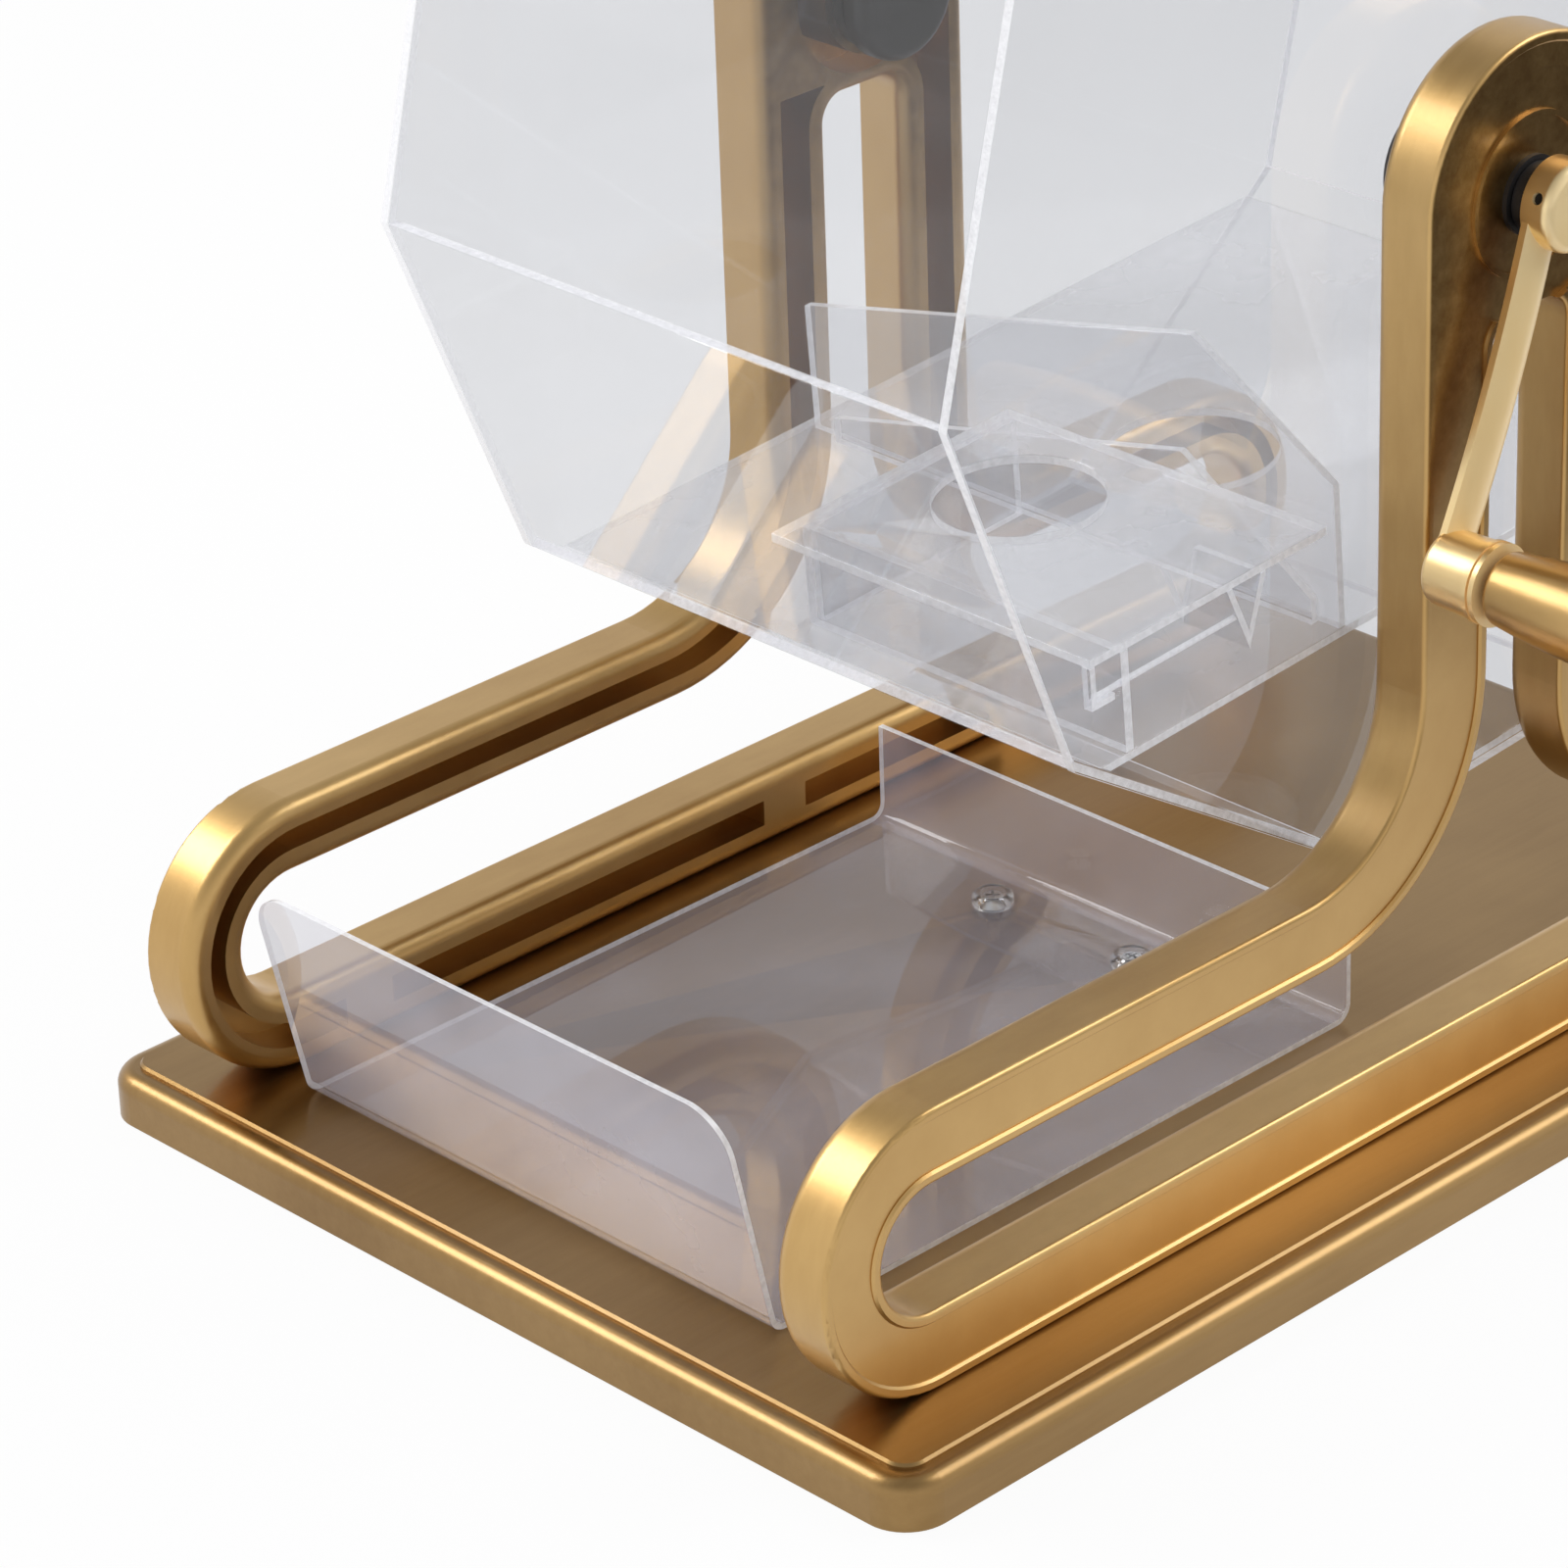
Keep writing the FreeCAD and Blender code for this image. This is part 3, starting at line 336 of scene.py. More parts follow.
frame_pale = (0.68, 0.45, 0.18, 1.0)
frame_deep = (0.50, 0.30, 0.10, 1.0)
axle_place = (0.0, 0.0432, 0.287)
painted_shade_full = 0.045
painted_shade_end = 0.14
painted_shade_most = 0.85
painted_shade_mottle = 170.0


def facing_axle(tree):
    """1 on a face across the axle, which lies along X, and 0 on a face along it."""
    facing = tree.nodes.new("ShaderNodeSeparateXYZ")
    normal = tree.nodes.new("ShaderNodeTexCoord").outputs["Normal"]
    tree.links.new(normal, facing.inputs["Vector"])
    return math_node(tree, "ABSOLUTE", facing.outputs["X"])


def from_axle(tree):
    """Vector from the axle's line straight out to the point."""
    reach = tree.nodes.new("ShaderNodeVectorMath")
    reach.operation = "SUBTRACT"
    place = tree.nodes.new("ShaderNodeTexCoord").outputs["Object"]
    tree.links.new(place, reach.inputs[0])
    reach.inputs[1].default_value = axle_place
    level = tree.nodes.new("ShaderNodeVectorMath")
    level.operation = "MULTIPLY"
    level.inputs[1].default_value = (0.0, 1.0, 1.0)
    tree.links.new(reach.outputs["Vector"], level.inputs[0])
    return level.outputs["Vector"]


def hub_painted_shade(tree):
    """Painted shade: most on the flats by the hub, falling to 0 away from it and on the rounded
    rims.
    """
    flat = range_node(tree, facing_axle(tree), 0.75, 0.95)
    away = tree.nodes.new("ShaderNodeVectorMath")
    away.operation = "LENGTH"
    tree.links.new(from_axle(tree), away.inputs[0])
    near = range_node(tree, away.outputs["Value"], painted_shade_full, painted_shade_end, painted_shade_most, 0.0)
    place = tree.nodes.new("ShaderNodeTexCoord").outputs["Object"]
    mottle = noise_node(tree, place, painted_shade_mottle, 4.0, 0.7)
    # a mottle makes the painted shade uneven
    rubbed = range_node(tree, mottle, 0.35, 0.7, 1.0, 0.6)
    return math_node(tree, "MULTIPLY", flat, math_node(tree, "MULTIPLY", near, rubbed))


# frames: brown painted shade on the flats round the hub
frame_gold = gold_material("frame_gold", frame_pale, frame_deep, (2.0, 0.5, 0.5),
                           painted_shade=hub_painted_shade)
finish_nodes(frame_gold, "frame_left", "frame_right")

# --- Screws and bushes of the frames --------------------------------------------------------
# Zinc wood screws come up through the base into the frames' ribs, and black moulded bushes
# are pressed into the hubs.

worn_dark = 0.7
worn_light = 1.25
least_light = 0.004
grain_rough = 0.25


def plain_material(name, colour, metallic, roughness, grain_size, relief):
    """Moulded or plated finish with fine grain in its colour, roughness and height."""
    material, tree = new_material(name)
    place = tree.nodes.new("ShaderNodeTexCoord").outputs["Object"]
    grain = noise_node(tree, place, grain_size, 4.0, 0.6)
    worn = noise_node(tree, place, grain_size / 12.0, 3.0)
    darker = tuple(worn_dark * c for c in colour[:3]) + (1.0,)
    lighter = tuple(min(1.0, worn_light * c + least_light) for c in colour[:3]) + (1.0,)
    tone = mix_node(tree, "RGBA", range_node(tree, worn, 0.3, 0.7), darker, lighter)
    rough = math_node(tree, "MULTIPLY_ADD", grain, grain_rough, roughness)
    bump = tree.nodes.new("ShaderNodeBump")
    bump.inputs["Distance"].default_value = relief
    tree.links.new(grain, bump.inputs["Height"])
    skin = tree.nodes.new("ShaderNodeBsdfPrincipled")
    skin.inputs["Metallic"].default_value = metallic
    tree.links.new(tone, skin.inputs["Base Color"])
    tree.links.new(rough, skin.inputs["Roughness"])
    tree.links.new(bump.outputs["Normal"], skin.inputs["Normal"])
    tree.links.new(skin.outputs["BSDF"], output_of(tree).inputs["Surface"])
    return material


zinc = plain_material("zinc", (0.62, 0.62, 0.63, 1.0), 1.0, 0.18, 700.0, 0.00002)
black_moulding = plain_material("black_moulding", (0.018, 0.017, 0.018, 1.0), 0.0, 0.32,
                                1400.0, 0.00003)
finish_nodes(zinc, "axle_left", "axle_right", "grip_spindle", "hinge_pins", "latch_stud",
             "flange_screws_left", "flange_screws_right")
finish_nodes(black_moulding, "bush_left", "bush_right", "axle_spacer_left", "axle_spacer_right",
             "inner_flange_left", "inner_flange_right", "outer_flange_left",
             "outer_flange_right")


def geometry_tree(name, inputs):
    """Geometry Nodes tree with named inputs; returns it with its input and output nodes."""
    tree = bpy.data.node_groups.new(name, "GeometryNodeTree")
    tree.is_modifier = True
    tree.interface.new_socket("Geometry", in_out="INPUT", socket_type="NodeSocketGeometry")
    for label, kind in inputs:
        tree.interface.new_socket(label, in_out="INPUT", socket_type=kind)
    tree.interface.new_socket("Geometry", in_out="OUTPUT", socket_type="NodeSocketGeometry")
    return tree, tree.nodes.new("NodeGroupInput"), tree.nodes.new("NodeGroupOutput")


def node(tree, kind, **inputs):
    """New node with its inputs, named with _ for a space, joined or written."""
    made = tree.nodes.new(kind)
    for label, value in inputs.items():
        put(tree, value, made.inputs[label.replace("_", " ")])
    return made


def moved(tree, geometry, x=0.0, y=0.0, z=0.0, turn=0.0):
    """Geometry shifted, and turned about Z."""
    place = node(tree, "ShaderNodeCombineXYZ", X=x, Y=y, Z=z).outputs["Vector"]
    shift = node(tree, "GeometryNodeTransform", Geometry=geometry, Translation=place)
    shift.inputs["Rotation"].default_value = (0.0, 0.0, turn)
    return shift.outputs["Geometry"]


crown_share = 0.72
recess_share = 1.1
point_share = 0.3


def build_cross_screws():
    """Tree: a cross-recessed screw on each point, its head's underside at the point."""
    floats = ("Head Radius", "Head Height", "Shank Radius", "Shank Length", "Slot Width",
              "Slot Depth")
    tree, given, out = geometry_tree(
        "cross_screws",
        [(label, "NodeSocketFloat") for label in floats]
        + [("Pointing", "NodeSocketVector"), ("Seed", "NodeSocketInt"),
           ("Material", "NodeSocketMaterial")])
    size = {label: given.outputs[label] for label in floats}
    crown = math_node(tree, "MULTIPLY", size["Head Radius"], crown_share)
    head = node(tree, "GeometryNodeMeshCone", Vertices=32, Radius_Top=crown,
                Radius_Bottom=size["Head Radius"], Depth=size["Head Height"]).outputs["Mesh"]
    reach = math_node(tree, "MULTIPLY", size["Head Radius"], recess_share)
    deep = math_node(tree, "MULTIPLY", size["Slot Depth"], 2.0)
    bar_size = node(tree, "ShaderNodeCombineXYZ", X=reach, Y=size["Slot Width"], Z=deep)
    bar = node(tree, "GeometryNodeMeshCube", Size=bar_size.outputs["Vector"]).outputs["Mesh"]
    recess = tree.nodes.new("GeometryNodeMeshBoolean")
    recess.operation = "DIFFERENCE"
    recess.solver = "EXACT"
    tree.links.new(head, recess.inputs["Mesh 1"])
    for turn in (0.0, math.pi / 2):
        cutter = moved(tree, bar, z=size["Head Height"], turn=turn)
        tree.links.new(cutter, recess.inputs["Mesh 2"])
    down = math_node(tree, "MULTIPLY", size["Shank Length"], -1.0)
    point = math_node(tree, "MULTIPLY", size["Shank Radius"], point_share)
    shank = node(tree, "GeometryNodeMeshCone", Vertices=20, Side_Segments=2, Radius_Bottom=point,
                 Radius_Top=size["Shank Radius"], Depth=size["Shank Length"]).outputs["Mesh"]
    whole = tree.nodes.new("GeometryNodeJoinGeometry")
    tree.links.new(moved(tree, shank, z=down), whole.inputs["Geometry"])
    tree.links.new(recess.outputs["Mesh"], whole.inputs["Geometry"])
    chance = node(tree, "FunctionNodeRandomValue", Seed=given.outputs["Seed"])
    angle = math_node(tree, "MULTIPLY", chance.outputs[1], math.pi / 2)
    spin = node(tree, "ShaderNodeCombineXYZ", Z=angle).outputs["Vector"]
    way = tree.nodes.new("ShaderNodeVectorMath")
    tree.links.new(spin, way.inputs[0])
    tree.links.new(given.outputs["Pointing"], way.inputs[1])
    turned_way = node(tree, "FunctionNodeEulerToRotation", Euler=way.outputs["Vector"])
    placed = node(tree, "GeometryNodeInstanceOnPoints", Points=given.outputs["Geometry"],
                  Instance=whole.outputs["Geometry"], Rotation=turned_way.outputs["Rotation"])
    real = node(tree, "GeometryNodeRealizeInstances", Geometry=placed.outputs["Instances"])
    finish = node(tree, "GeometryNodeSetMaterial", Geometry=real.outputs["Geometry"],
                  Material=given.outputs["Material"])
    tree.links.new(finish.outputs["Geometry"], out.inputs["Geometry"])
    return tree


cross_screws = build_cross_screws()
corner_angle = 30.0


def finished(piece):
    """Turn a piece's modifiers into its plain mesh, smooth but for its corners."""
    graph = bpy.context.evaluated_depsgraph_get()
    mesh = bpy.data.meshes.new_from_object(piece.evaluated_get(graph), depsgraph=graph)
    piece.modifiers.clear()
    piece.data = mesh
    mesh.shade_smooth()
    mesh.set_sharp_from_angle(angle=math.radians(corner_angle))
    return piece


def grown(name, points, tree, values):
    """Piece that a Geometry Nodes tree grows on points through a modifier."""
    mesh = bpy.data.meshes.new(name)
    mesh.from_pydata(points, [], [])
    piece = bpy.data.objects.new(name, mesh)
    scene.collection.objects.link(piece)
    modifier = piece.modifiers.new(tree.name, "NODES")
    modifier.node_group = tree
    for item in tree.interface.items_tree:
        if item.in_out == "INPUT" and item.name in values:
            modifier[item.identifier] = values[item.name]
    return piece


def stand_for(piece, name, body):
    """The piece takes a node's place on its body; the node is hidden."""
    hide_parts(name)
    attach(piece, body)


frame_screw_x = 0.1265
frame_screw_y = (-0.172, -0.001, 0.105, 0.195)
frame_screw_head_top = 0.004
frame_screw_sizes = {
    "Head Radius": 0.005, "Head Height": 0.003, "Shank Radius": 0.0025, "Shank Length": 0.023,
    "Slot Width": 0.0011, "Slot Depth": 0.0016, "Pointing": (math.pi, 0.0, 0.0), "Seed": 3,
    "Material": zinc,
}
screw_places = [(side * frame_screw_x, y, frame_screw_head_top)
                for side in (-1, 1) for y in frame_screw_y]
frame_screw_set = grown("frame_screw_set", screw_places, cross_screws, frame_screw_sizes)
stand_for(finished(frame_screw_set), "frame_screws", "stand")

# --- Clear sheet --------------------------------------------------------------------------
# The drum and the tray are cut from clear acrylic sheet. Its faces are polished and show what
# is behind them under a faint haze; its sawn edges are milky and have a painted glow.

haze_colour = (0.74, 0.74, 0.755, 1.0)
edge_colour = (0.90, 0.90, 0.925, 1.0)
# painted glow: light that the milky sawn edges give off by themselves
edge_painted_glow = 0.22
edge_below = 0.6
sheet_tint = (0.934, 0.937, 0.945, 1.0)
sheet_haze = 0.02
saw_mark_scale = 420.0
wipe_scale = 14.0
milk_least = 0.4
milk_spread = 0.5
face_roughness = 0.03
edge_roughness = 0.22
acrylic_ior = 1.49


def dot_size(tree, first, second):
    """Size of the dot product of two vectors or sockets."""
    across = tree.nodes.new("ShaderNodeVectorMath")
    across.operation = "DOT_PRODUCT"
    put(tree, first, across.inputs[0])
    put(tree, second, across.inputs[1])
    return math_node(tree, "ABSOLUTE", across.outputs["Value"])


def build_sawn_edges():
    """Group: 1 on a sheet's sawn edges, 0 on its faces, from the sheet's own direction.

    Below the level Bent Below, a bent sheet's second direction counts too.
    """
    group, given, out = new_group(
        "sawn_edges",
        [("Normal", "NodeSocketVector", None), ("Sheet", "NodeSocketVector", (1.0, 0.0, 0.0)),
         ("Bent", "NodeSocketVector", (0.0, 0.0, 0.0)), ("Bent Below", "NodeSocketFloat", 0.0)],
        [("Edge", "NodeSocketFloat"), ("Saw Marks", "NodeSocketFloat"),
         ("Haze", "NodeSocketFloat")])
    place = group.nodes.new("ShaderNodeTexCoord").outputs["Object"]
    level = group.nodes.new("ShaderNodeSeparateXYZ")
    group.links.new(place, level.inputs["Vector"])
    normal = given.outputs["Normal"]
    below = math_node(group, "LESS_THAN", level.outputs["Z"], given.outputs["Bent Below"])
    bent = math_node(group, "MULTIPLY", dot_size(group, normal, given.outputs["Bent"]), below)
    facing = math_node(group, "MAXIMUM", dot_size(group, normal, given.outputs["Sheet"]), bent)
    edge = math_node(group, "LESS_THAN", facing, edge_below)
    marks = noise_node(group, place, saw_mark_scale, 3.0, 0.65)
    wiped = noise_node(group, place, wipe_scale, 5.0, 0.55)
    group.links.new(edge, out.inputs["Edge"])
    group.links.new(marks, out.inputs["Saw Marks"])
    group.links.new(range_node(group, wiped, 0.35, 0.75, 0.7, 1.4), out.inputs["Haze"])
    return group


sawn_edges = build_sawn_edges()


def clear_material(name, direction, haze=sheet_haze, painted_slant_sheen=0.0, glow=0.0, cloud=haze_colour,
                   bent=None, bent_below=0.0):
    """Clear acrylic: see-through faces under a polish, and milky sawn edges with a painted glow.

    Extra haze for a sheet seen at a slant is a painted reflection; the cloud is the colour of its
    haze, and the glow is how much of that colour the faces give off by themselves, a painted
    glow.
    """
    material, tree = new_material(name)
    normal = tree.nodes.new("ShaderNodeTexCoord").outputs["Normal"]
    edges = tree.nodes.new("ShaderNodeGroup")
    edges.node_tree = sawn_edges
    tree.links.new(normal, edges.inputs["Normal"])
    put(tree, direction(tree) if callable(direction) else direction, edges.inputs["Sheet"])
    if bent:
        edges.inputs["Bent"].default_value = bent
        edges.inputs["Bent Below"].default_value = bent_below
    edge = edges.outputs["Edge"]

    through = tree.nodes.new("ShaderNodeBsdfTransparent")
    through.inputs["Color"].default_value = sheet_tint
    body = tree.nodes.new("ShaderNodeBsdfPrincipled")
    tone = mix_node(tree, "RGBA", edge, cloud, edge_colour)
    tree.links.new(tone, body.inputs["Base Color"])
    # painted glow of the hazy faces
    soft = tuple(glow * c for c in cloud[:3]) + (1.0,)
    # painted glow: the edges, and the hazy faces by their glow, give off their own light
    painted_glow_colour = mix_node(tree, "RGBA", edge, soft, edge_colour)
    tree.links.new(painted_glow_colour, body.inputs["Emission Color"])
    body.inputs["Emission Strength"].default_value = edge_painted_glow
    body.inputs["Specular IOR Level"].default_value = 0.0
    body.inputs["Roughness"].default_value = 0.6
    # painted reflection: haze that grows where the sheet is seen at a slant
    slant = tree.nodes.new("ShaderNodeLayerWeight")
    cloudy = math_node(tree, "MULTIPLY_ADD", slant.outputs["Facing"], painted_slant_sheen, haze)
    cloudy = math_node(tree, "MULTIPLY", edges.outputs["Haze"], cloudy)
    milk = math_node(tree, "MULTIPLY_ADD", edges.outputs["Saw Marks"], milk_spread, milk_least)
    seen = tree.nodes.new("ShaderNodeMixShader")
    tree.links.new(mix_node(tree, "FLOAT", edge, cloudy, milk), seen.inputs["Fac"])
    tree.links.new(through.outputs["BSDF"], seen.inputs[1])
    tree.links.new(body.outputs["BSDF"], seen.inputs[2])

    polish = tree.nodes.new("ShaderNodeBsdfGlossy")
    polish.inputs["Color"].default_value = (1.0, 1.0, 1.0, 1.0)
    gloss = mix_node(tree, "FLOAT", edge, face_roughness, edge_roughness)
    tree.links.new(gloss, polish.inputs["Roughness"])
    fresnel = tree.nodes.new("ShaderNodeFresnel")
    fresnel.inputs["IOR"].default_value = acrylic_ior
    inside = tree.nodes.new("ShaderNodeNewGeometry").outputs["Backfacing"]
    outside = math_node(tree, "SUBTRACT", 1.0, inside)
    whole = tree.nodes.new("ShaderNodeMixShader")
    tree.links.new(math_node(tree, "MULTIPLY", fresnel.outputs["Fac"], outside),
                   whole.inputs["Fac"])
    tree.links.new(seen.outputs["Shader"], whole.inputs[1])
    tree.links.new(polish.outputs["BSDF"], whole.inputs[2])
    tree.links.new(whole.outputs["Shader"], output_of(tree).inputs["Surface"])
    return material


ease_width = 0.0003
ease_angle = 25.0
joined_within = 0.000001
flat_within = 1.0


def ease(piece):
    """Take the sharp edges off a piece of sheet."""
    bevel = piece.modifiers.new("ease", "BEVEL")
    bevel.width = ease_width
    bevel.limit_method = "ANGLE"
    bevel.angle_limit = math.radians(ease_angle)
    return finished(piece)


def eased_sheet(name, body, material):
    """Copy of a sheet node with its sawn edges eased."""
    work = bmesh.new()
    work.from_mesh(nodes[name].data)
    bmesh.ops.remove_doubles(work, verts=work.verts, dist=joined_within)
    bmesh.ops.dissolve_limit(work, angle_limit=math.radians(flat_within), verts=work.verts,
                             edges=work.edges)
    mesh = bpy.data.meshes.new(name + "_eased")
    work.to_mesh(mesh)
    work.free()
    piece = bpy.data.objects.new(name + "_eased", mesh)
    scene.collection.objects.link(piece)
    mesh.materials.append(material)
    stand_for(ease(piece), name, body)


# --- Drum shell ---------------------------------------------------------------------------
# Ten side panels, mitred along their long edges, are glued between two ten-sided end plates.
# The panel at the upper front is cut out for the filling hatch.

drum_radius = 0.2
drum_sides = 10
drum_turn = 4.0
panel_sheet = 0.003
panel_length = 0.215
hatch_face = 3


def outward(tree):
    """Direction straight out from the axle."""
    unit = tree.nodes.new("ShaderNodeVectorMath")
    unit.operation = "NORMALIZE"
    tree.links.new(from_axle(tree), unit.inputs[0])
    return unit.outputs["Vector"]


def build_mitred_panels():
    """Tree: mitred panels round an axle along X, all but the one with the hatch."""
    floats = ("Radius", "Sheet", "Length", "Turn")
    tree, given, out = geometry_tree(
        "mitred_panels",
        [("Sides", "NodeSocketInt"), ("Hatch Face", "NodeSocketInt")]
        + [(label, "NodeSocketFloat") for label in floats]
        + [("Axle", "NodeSocketVector"), ("Material", "NodeSocketMaterial")])
    size = {label: given.outputs[label] for label in floats}
    half_turn = math_node(tree, "DIVIDE", math.pi, given.outputs["Sides"])
    outer = math_node(tree, "MULTIPLY", size["Radius"], math_node(tree, "COSINE", half_turn))
    inner = math_node(tree, "SUBTRACT", outer, size["Sheet"])
    steep = math_node(tree, "TANGENT", half_turn)
    half_out = math_node(tree, "MULTIPLY", outer, steep)
    half_in = math_node(tree, "MULTIPLY", inner, steep)
    slab_size = node(tree, "ShaderNodeCombineXYZ", X=size["Length"], Y=2.0, Z=size["Sheet"])
    slab = node(tree, "GeometryNodeMeshCube", Size=slab_size.outputs["Vector"])
    here = node(tree, "ShaderNodeSeparateXYZ",
                Vector=tree.nodes.new("GeometryNodeInputPosition").outputs["Position"])
    half_sheet = math_node(tree, "MULTIPLY", size["Sheet"], 0.5)
    under = math_node(tree, "MULTIPLY", size["Sheet"], -0.5)
    half_width = range_node(tree, here.outputs["Z"], under, half_sheet, half_in, half_out)
    across = math_node(tree, "MULTIPLY", here.outputs["Y"], half_width)
    middle = math_node(tree, "SUBTRACT", outer, half_sheet)
    up = math_node(tree, "ADD", here.outputs["Z"], middle)
    place = node(tree, "ShaderNodeCombineXYZ", X=here.outputs["X"], Y=across, Z=up)
    panel = node(tree, "GeometryNodeSetPosition", Geometry=slab.outputs["Mesh"],
                 Position=place.outputs["Vector"])
    index = tree.nodes.new("GeometryNodeInputIndex").outputs["Index"]
    step = math_node(tree, "MULTIPLY", half_turn, 2.0)
    angle = math_node(tree, "MULTIPLY", math_node(tree, "ADD", index, 0.5), step)
    angle = math_node(tree, "ADD", angle, math_node(tree, "SUBTRACT", size["Turn"], math.pi / 2))
    way = node(tree, "ShaderNodeCombineXYZ", X=angle).outputs["Vector"]
    turned_way = node(tree, "FunctionNodeEulerToRotation", Euler=way)
    points = node(tree, "GeometryNodePoints", Count=given.outputs["Sides"],
                  Position=given.outputs["Axle"])
    others = math_node(tree, "COMPARE", index, given.outputs["Hatch Face"], 0.5)
    others = math_node(tree, "SUBTRACT", 1.0, others)
    placed = node(tree, "GeometryNodeInstanceOnPoints", Points=points.outputs[0],
                  Selection=others, Instance=panel.outputs["Geometry"],
                  Rotation=turned_way.outputs["Rotation"])
    real = node(tree, "GeometryNodeRealizeInstances", Geometry=placed.outputs["Instances"])
    finish = node(tree, "GeometryNodeSetMaterial", Geometry=real.outputs["Geometry"],
                  Material=given.outputs["Material"])
    tree.links.new(finish.outputs["Geometry"], out.inputs["Geometry"])
    return tree


side_clear = clear_material("side_clear", outward)
end_clear = clear_material("end_clear", (1.0, 0.0, 0.0))
shell_sizes = {
    "Sides": drum_sides, "Hatch Face": hatch_face, "Radius": drum_radius, "Sheet": panel_sheet,
    "Length": panel_length, "Turn": math.radians(drum_turn), "Axle": axle_place,
    "Material": side_clear,
}
drum_panels = grown("drum_panels", [], build_mitred_panels(), shell_sizes)
plain_panels = ["panel_%d" % face for face in range(drum_sides) if face != hatch_face]
ease(drum_panels)
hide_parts(*plain_panels)
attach(drum_panels, "drum")
eased_sheet("panel_%d" % hatch_face, "drum", side_clear)
eased_sheet("end_plate_left", "drum", end_clear)
eased_sheet("end_plate_right", "drum", end_clear)

# --- Filling hatch --------------------------------------------------------------------------
# A clear plate that laps the opening all round, on two plated hinges, with a turned knob and a
# turn button. The metal parts are finished with the grip.

eased_sheet("hatch", "hatch", side_clear)

# --- Shelf and ball trap --------------------------------------------------------------------
# A level shelf with a hole for the balls, and at its front a clear box with a catching hole,
# a tall peaked wall behind it and a lever bracket at its right end. The level sheets and the
# tall wall are slightly frosted, and their haze gives off a painted glow for the white
# reflections in them; the level sheets also take more haze at a slant, a painted reflection.

# level sheets: painted glow in their haze and painted reflection at a slant
level_clear = clear_material("level_clear", (0.0, 0.0, 1.0), haze=0.15, painted_slant_sheen=0.25, glow=1.6)
# tall wall: painted glow in its haze
wall_clear = clear_material("wall_clear", (0.0, 1.0, 0.0), haze=0.18, glow=1.4)
upright_clear = clear_material("upright_clear", (0.0, 1.0, 0.0))
for name in ("partition", "trap_lid"):
    eased_sheet(name, "drum", level_clear)
eased_sheet("trap_wall", "drum", wall_clear)
for name in ("trap_guard", "trap_front"):
    eased_sheet(name, "drum", upright_clear)
eased_sheet("trap_side", "drum", end_clear)
finish_nodes(upright_clear, "trap_bracket", "trap_hook", "trap_rod")

# --- Draw tray ------------------------------------------------------------------------------
# One clear sheet bent up at the front as a leaning lip and at the back as a low wall, held
# down by two screws under clear domed caps. Its haze is tinted lilac and glows a little, a
# painted reflection of the drum and the room.

tray_lip_way = (0.0, 0.976, 0.216)
tray_bend_top = 0.026
tray_screw_x = (-0.0385, 0.0195)
tray_screw_y = 0.0085
tray_floor = 0.0185
tray_screw_sizes = {
    "Head Radius": 0.004, "Head Height": 0.0022, "Shank Radius": 0.002, "Shank Length": 0.012,
    "Slot Width": 0.0009, "Slot Depth": 0.0012, "Pointing": (0.0, 0.0, 0.0), "Seed": 5,
    "Material": zinc,
}
# painted reflection: the lilac of the tray's haze
tray_reflection_tint = (0.72, 0.69, 0.77, 1.0)
cap_tint = (0.93, 0.94, 0.95, 1.0)
cap_clear = (1.0, 1.0, 1.0, 1.0)

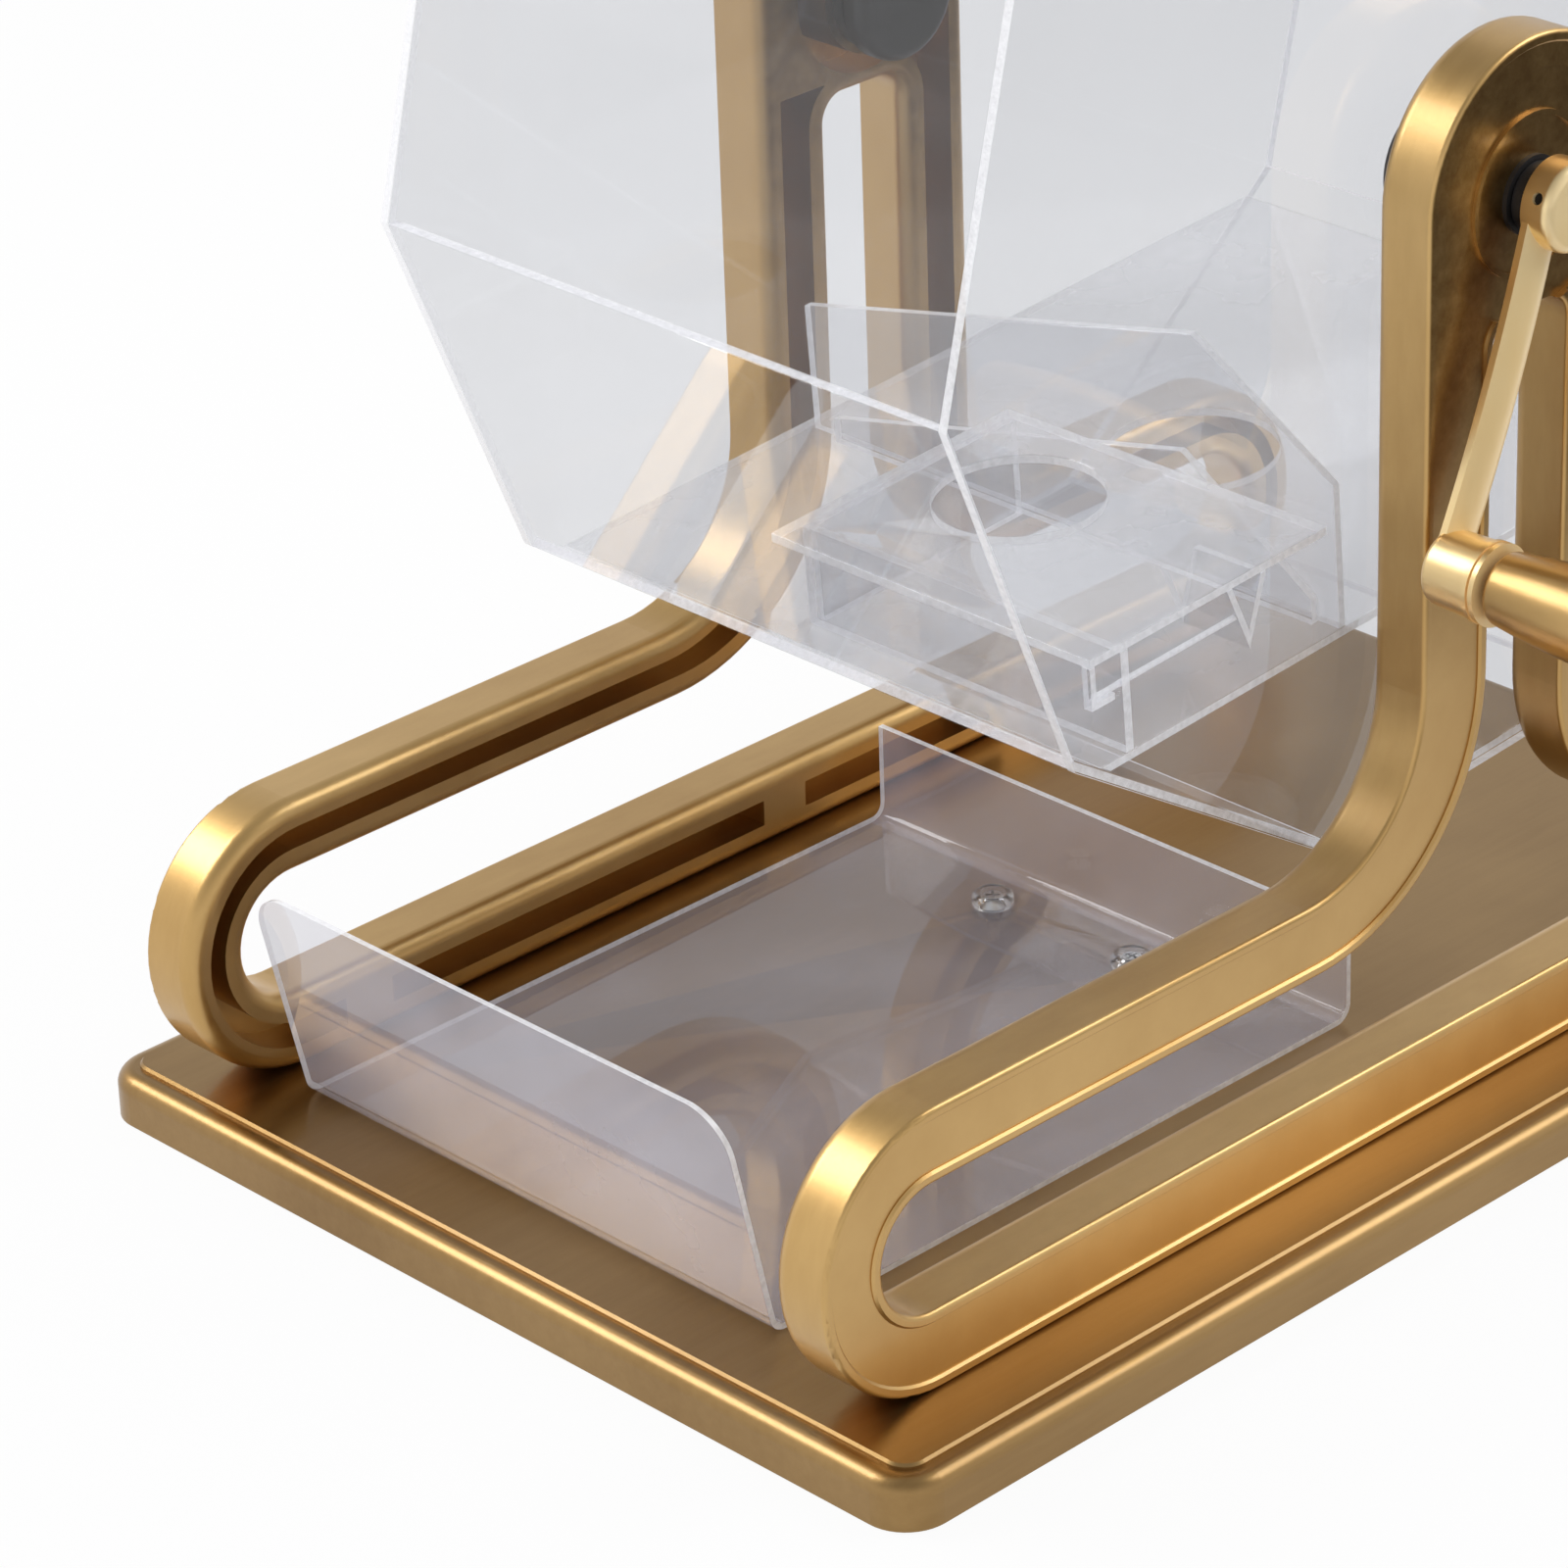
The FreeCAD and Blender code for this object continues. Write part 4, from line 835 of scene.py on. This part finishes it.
# tray: lilac haze, painted glow and slant haze as painted reflection
tray_clear = clear_material("tray_clear", tray_lip_way, haze=0.2, painted_slant_sheen=0.08, glow=0.6,
                            cloud=tray_reflection_tint, bent=(0.0, 0.0, 1.0), bent_below=tray_bend_top)
eased_sheet("tray", "stand", tray_clear)
tray_screw_set = grown("tray_screw_set", [(x, tray_screw_y, tray_floor) for x in tray_screw_x],
                       cross_screws, tray_screw_sizes)
stand_for(finished(tray_screw_set), "tray_screws", "stand")

cap_material, tree = new_material("cap_clear")
cap_place = tree.nodes.new("ShaderNodeTexCoord").outputs["Object"]
cap_glass = tree.nodes.new("ShaderNodeBsdfPrincipled")
cap_glass.inputs["Transmission Weight"].default_value = 1.0
cap_glass.inputs["IOR"].default_value = acrylic_ior
cap_swirl = noise_node(tree, cap_place, 300.0, 3.0)
tree.links.new(range_node(tree, cap_swirl, 0.3, 0.7, 0.02, 0.1), cap_glass.inputs["Roughness"])
tree.links.new(mix_node(tree, "RGBA", cap_swirl, cap_tint, cap_clear),
               cap_glass.inputs["Base Color"])
tree.links.new(cap_glass.outputs["BSDF"], output_of(tree).inputs["Surface"])
finish_nodes(cap_material, "tray_caps")

# --- Crank, grip and small gold parts -------------------------------------------------------
# The crank and grip are cast and turned in metal, then plated a little smoother than the
# frames. The crank is painted paler than the grip and is less metallic on its flats that face
# along the axle, a painted highlight; the cap, hatch knob, hinges and latch match the grip.

plated_roughness = 0.24
# painted highlight: the crank's gold is paler than the grip's
crank_highlight_pale = (1.0, 0.80, 0.45, 1.0)
crank_highlight_deep = (0.97, 0.69, 0.31, 1.0)


def flats_painted_highlight(tree):
    """Metallic share: whole on the crank's round sides, a part on its flats, a painted highlight.
    """
    return range_node(tree, facing_axle(tree), 0.35, 0.65, 1.0, 0.2)


# crank: painted highlight in its paler gold and its less metallic flats
crank_highlight_gold = gold_material("crank_highlight_gold", crank_highlight_pale, crank_highlight_deep, (1.0, 1.0, 0.4),
                           plated_roughness, relief=0.000006, metallic=flats_painted_highlight)
finish_nodes(crank_highlight_gold, "crank_arm")
turned_gold = gold_material("turned_gold", frame_pale, frame_deep, (0.3, 1.0, 1.0),
                            plated_roughness, relief=0.000008)
finish_nodes(turned_gold, "grip", "axle_cap", "hatch_knob", "hinge_fixed", "hinge_moving",
             "latch")
black_oxide = plain_material("black_oxide", (0.03, 0.03, 0.032, 1.0), 0.8, 0.25, 900.0, 0.00002)
finish_nodes(black_oxide, "set_screw")
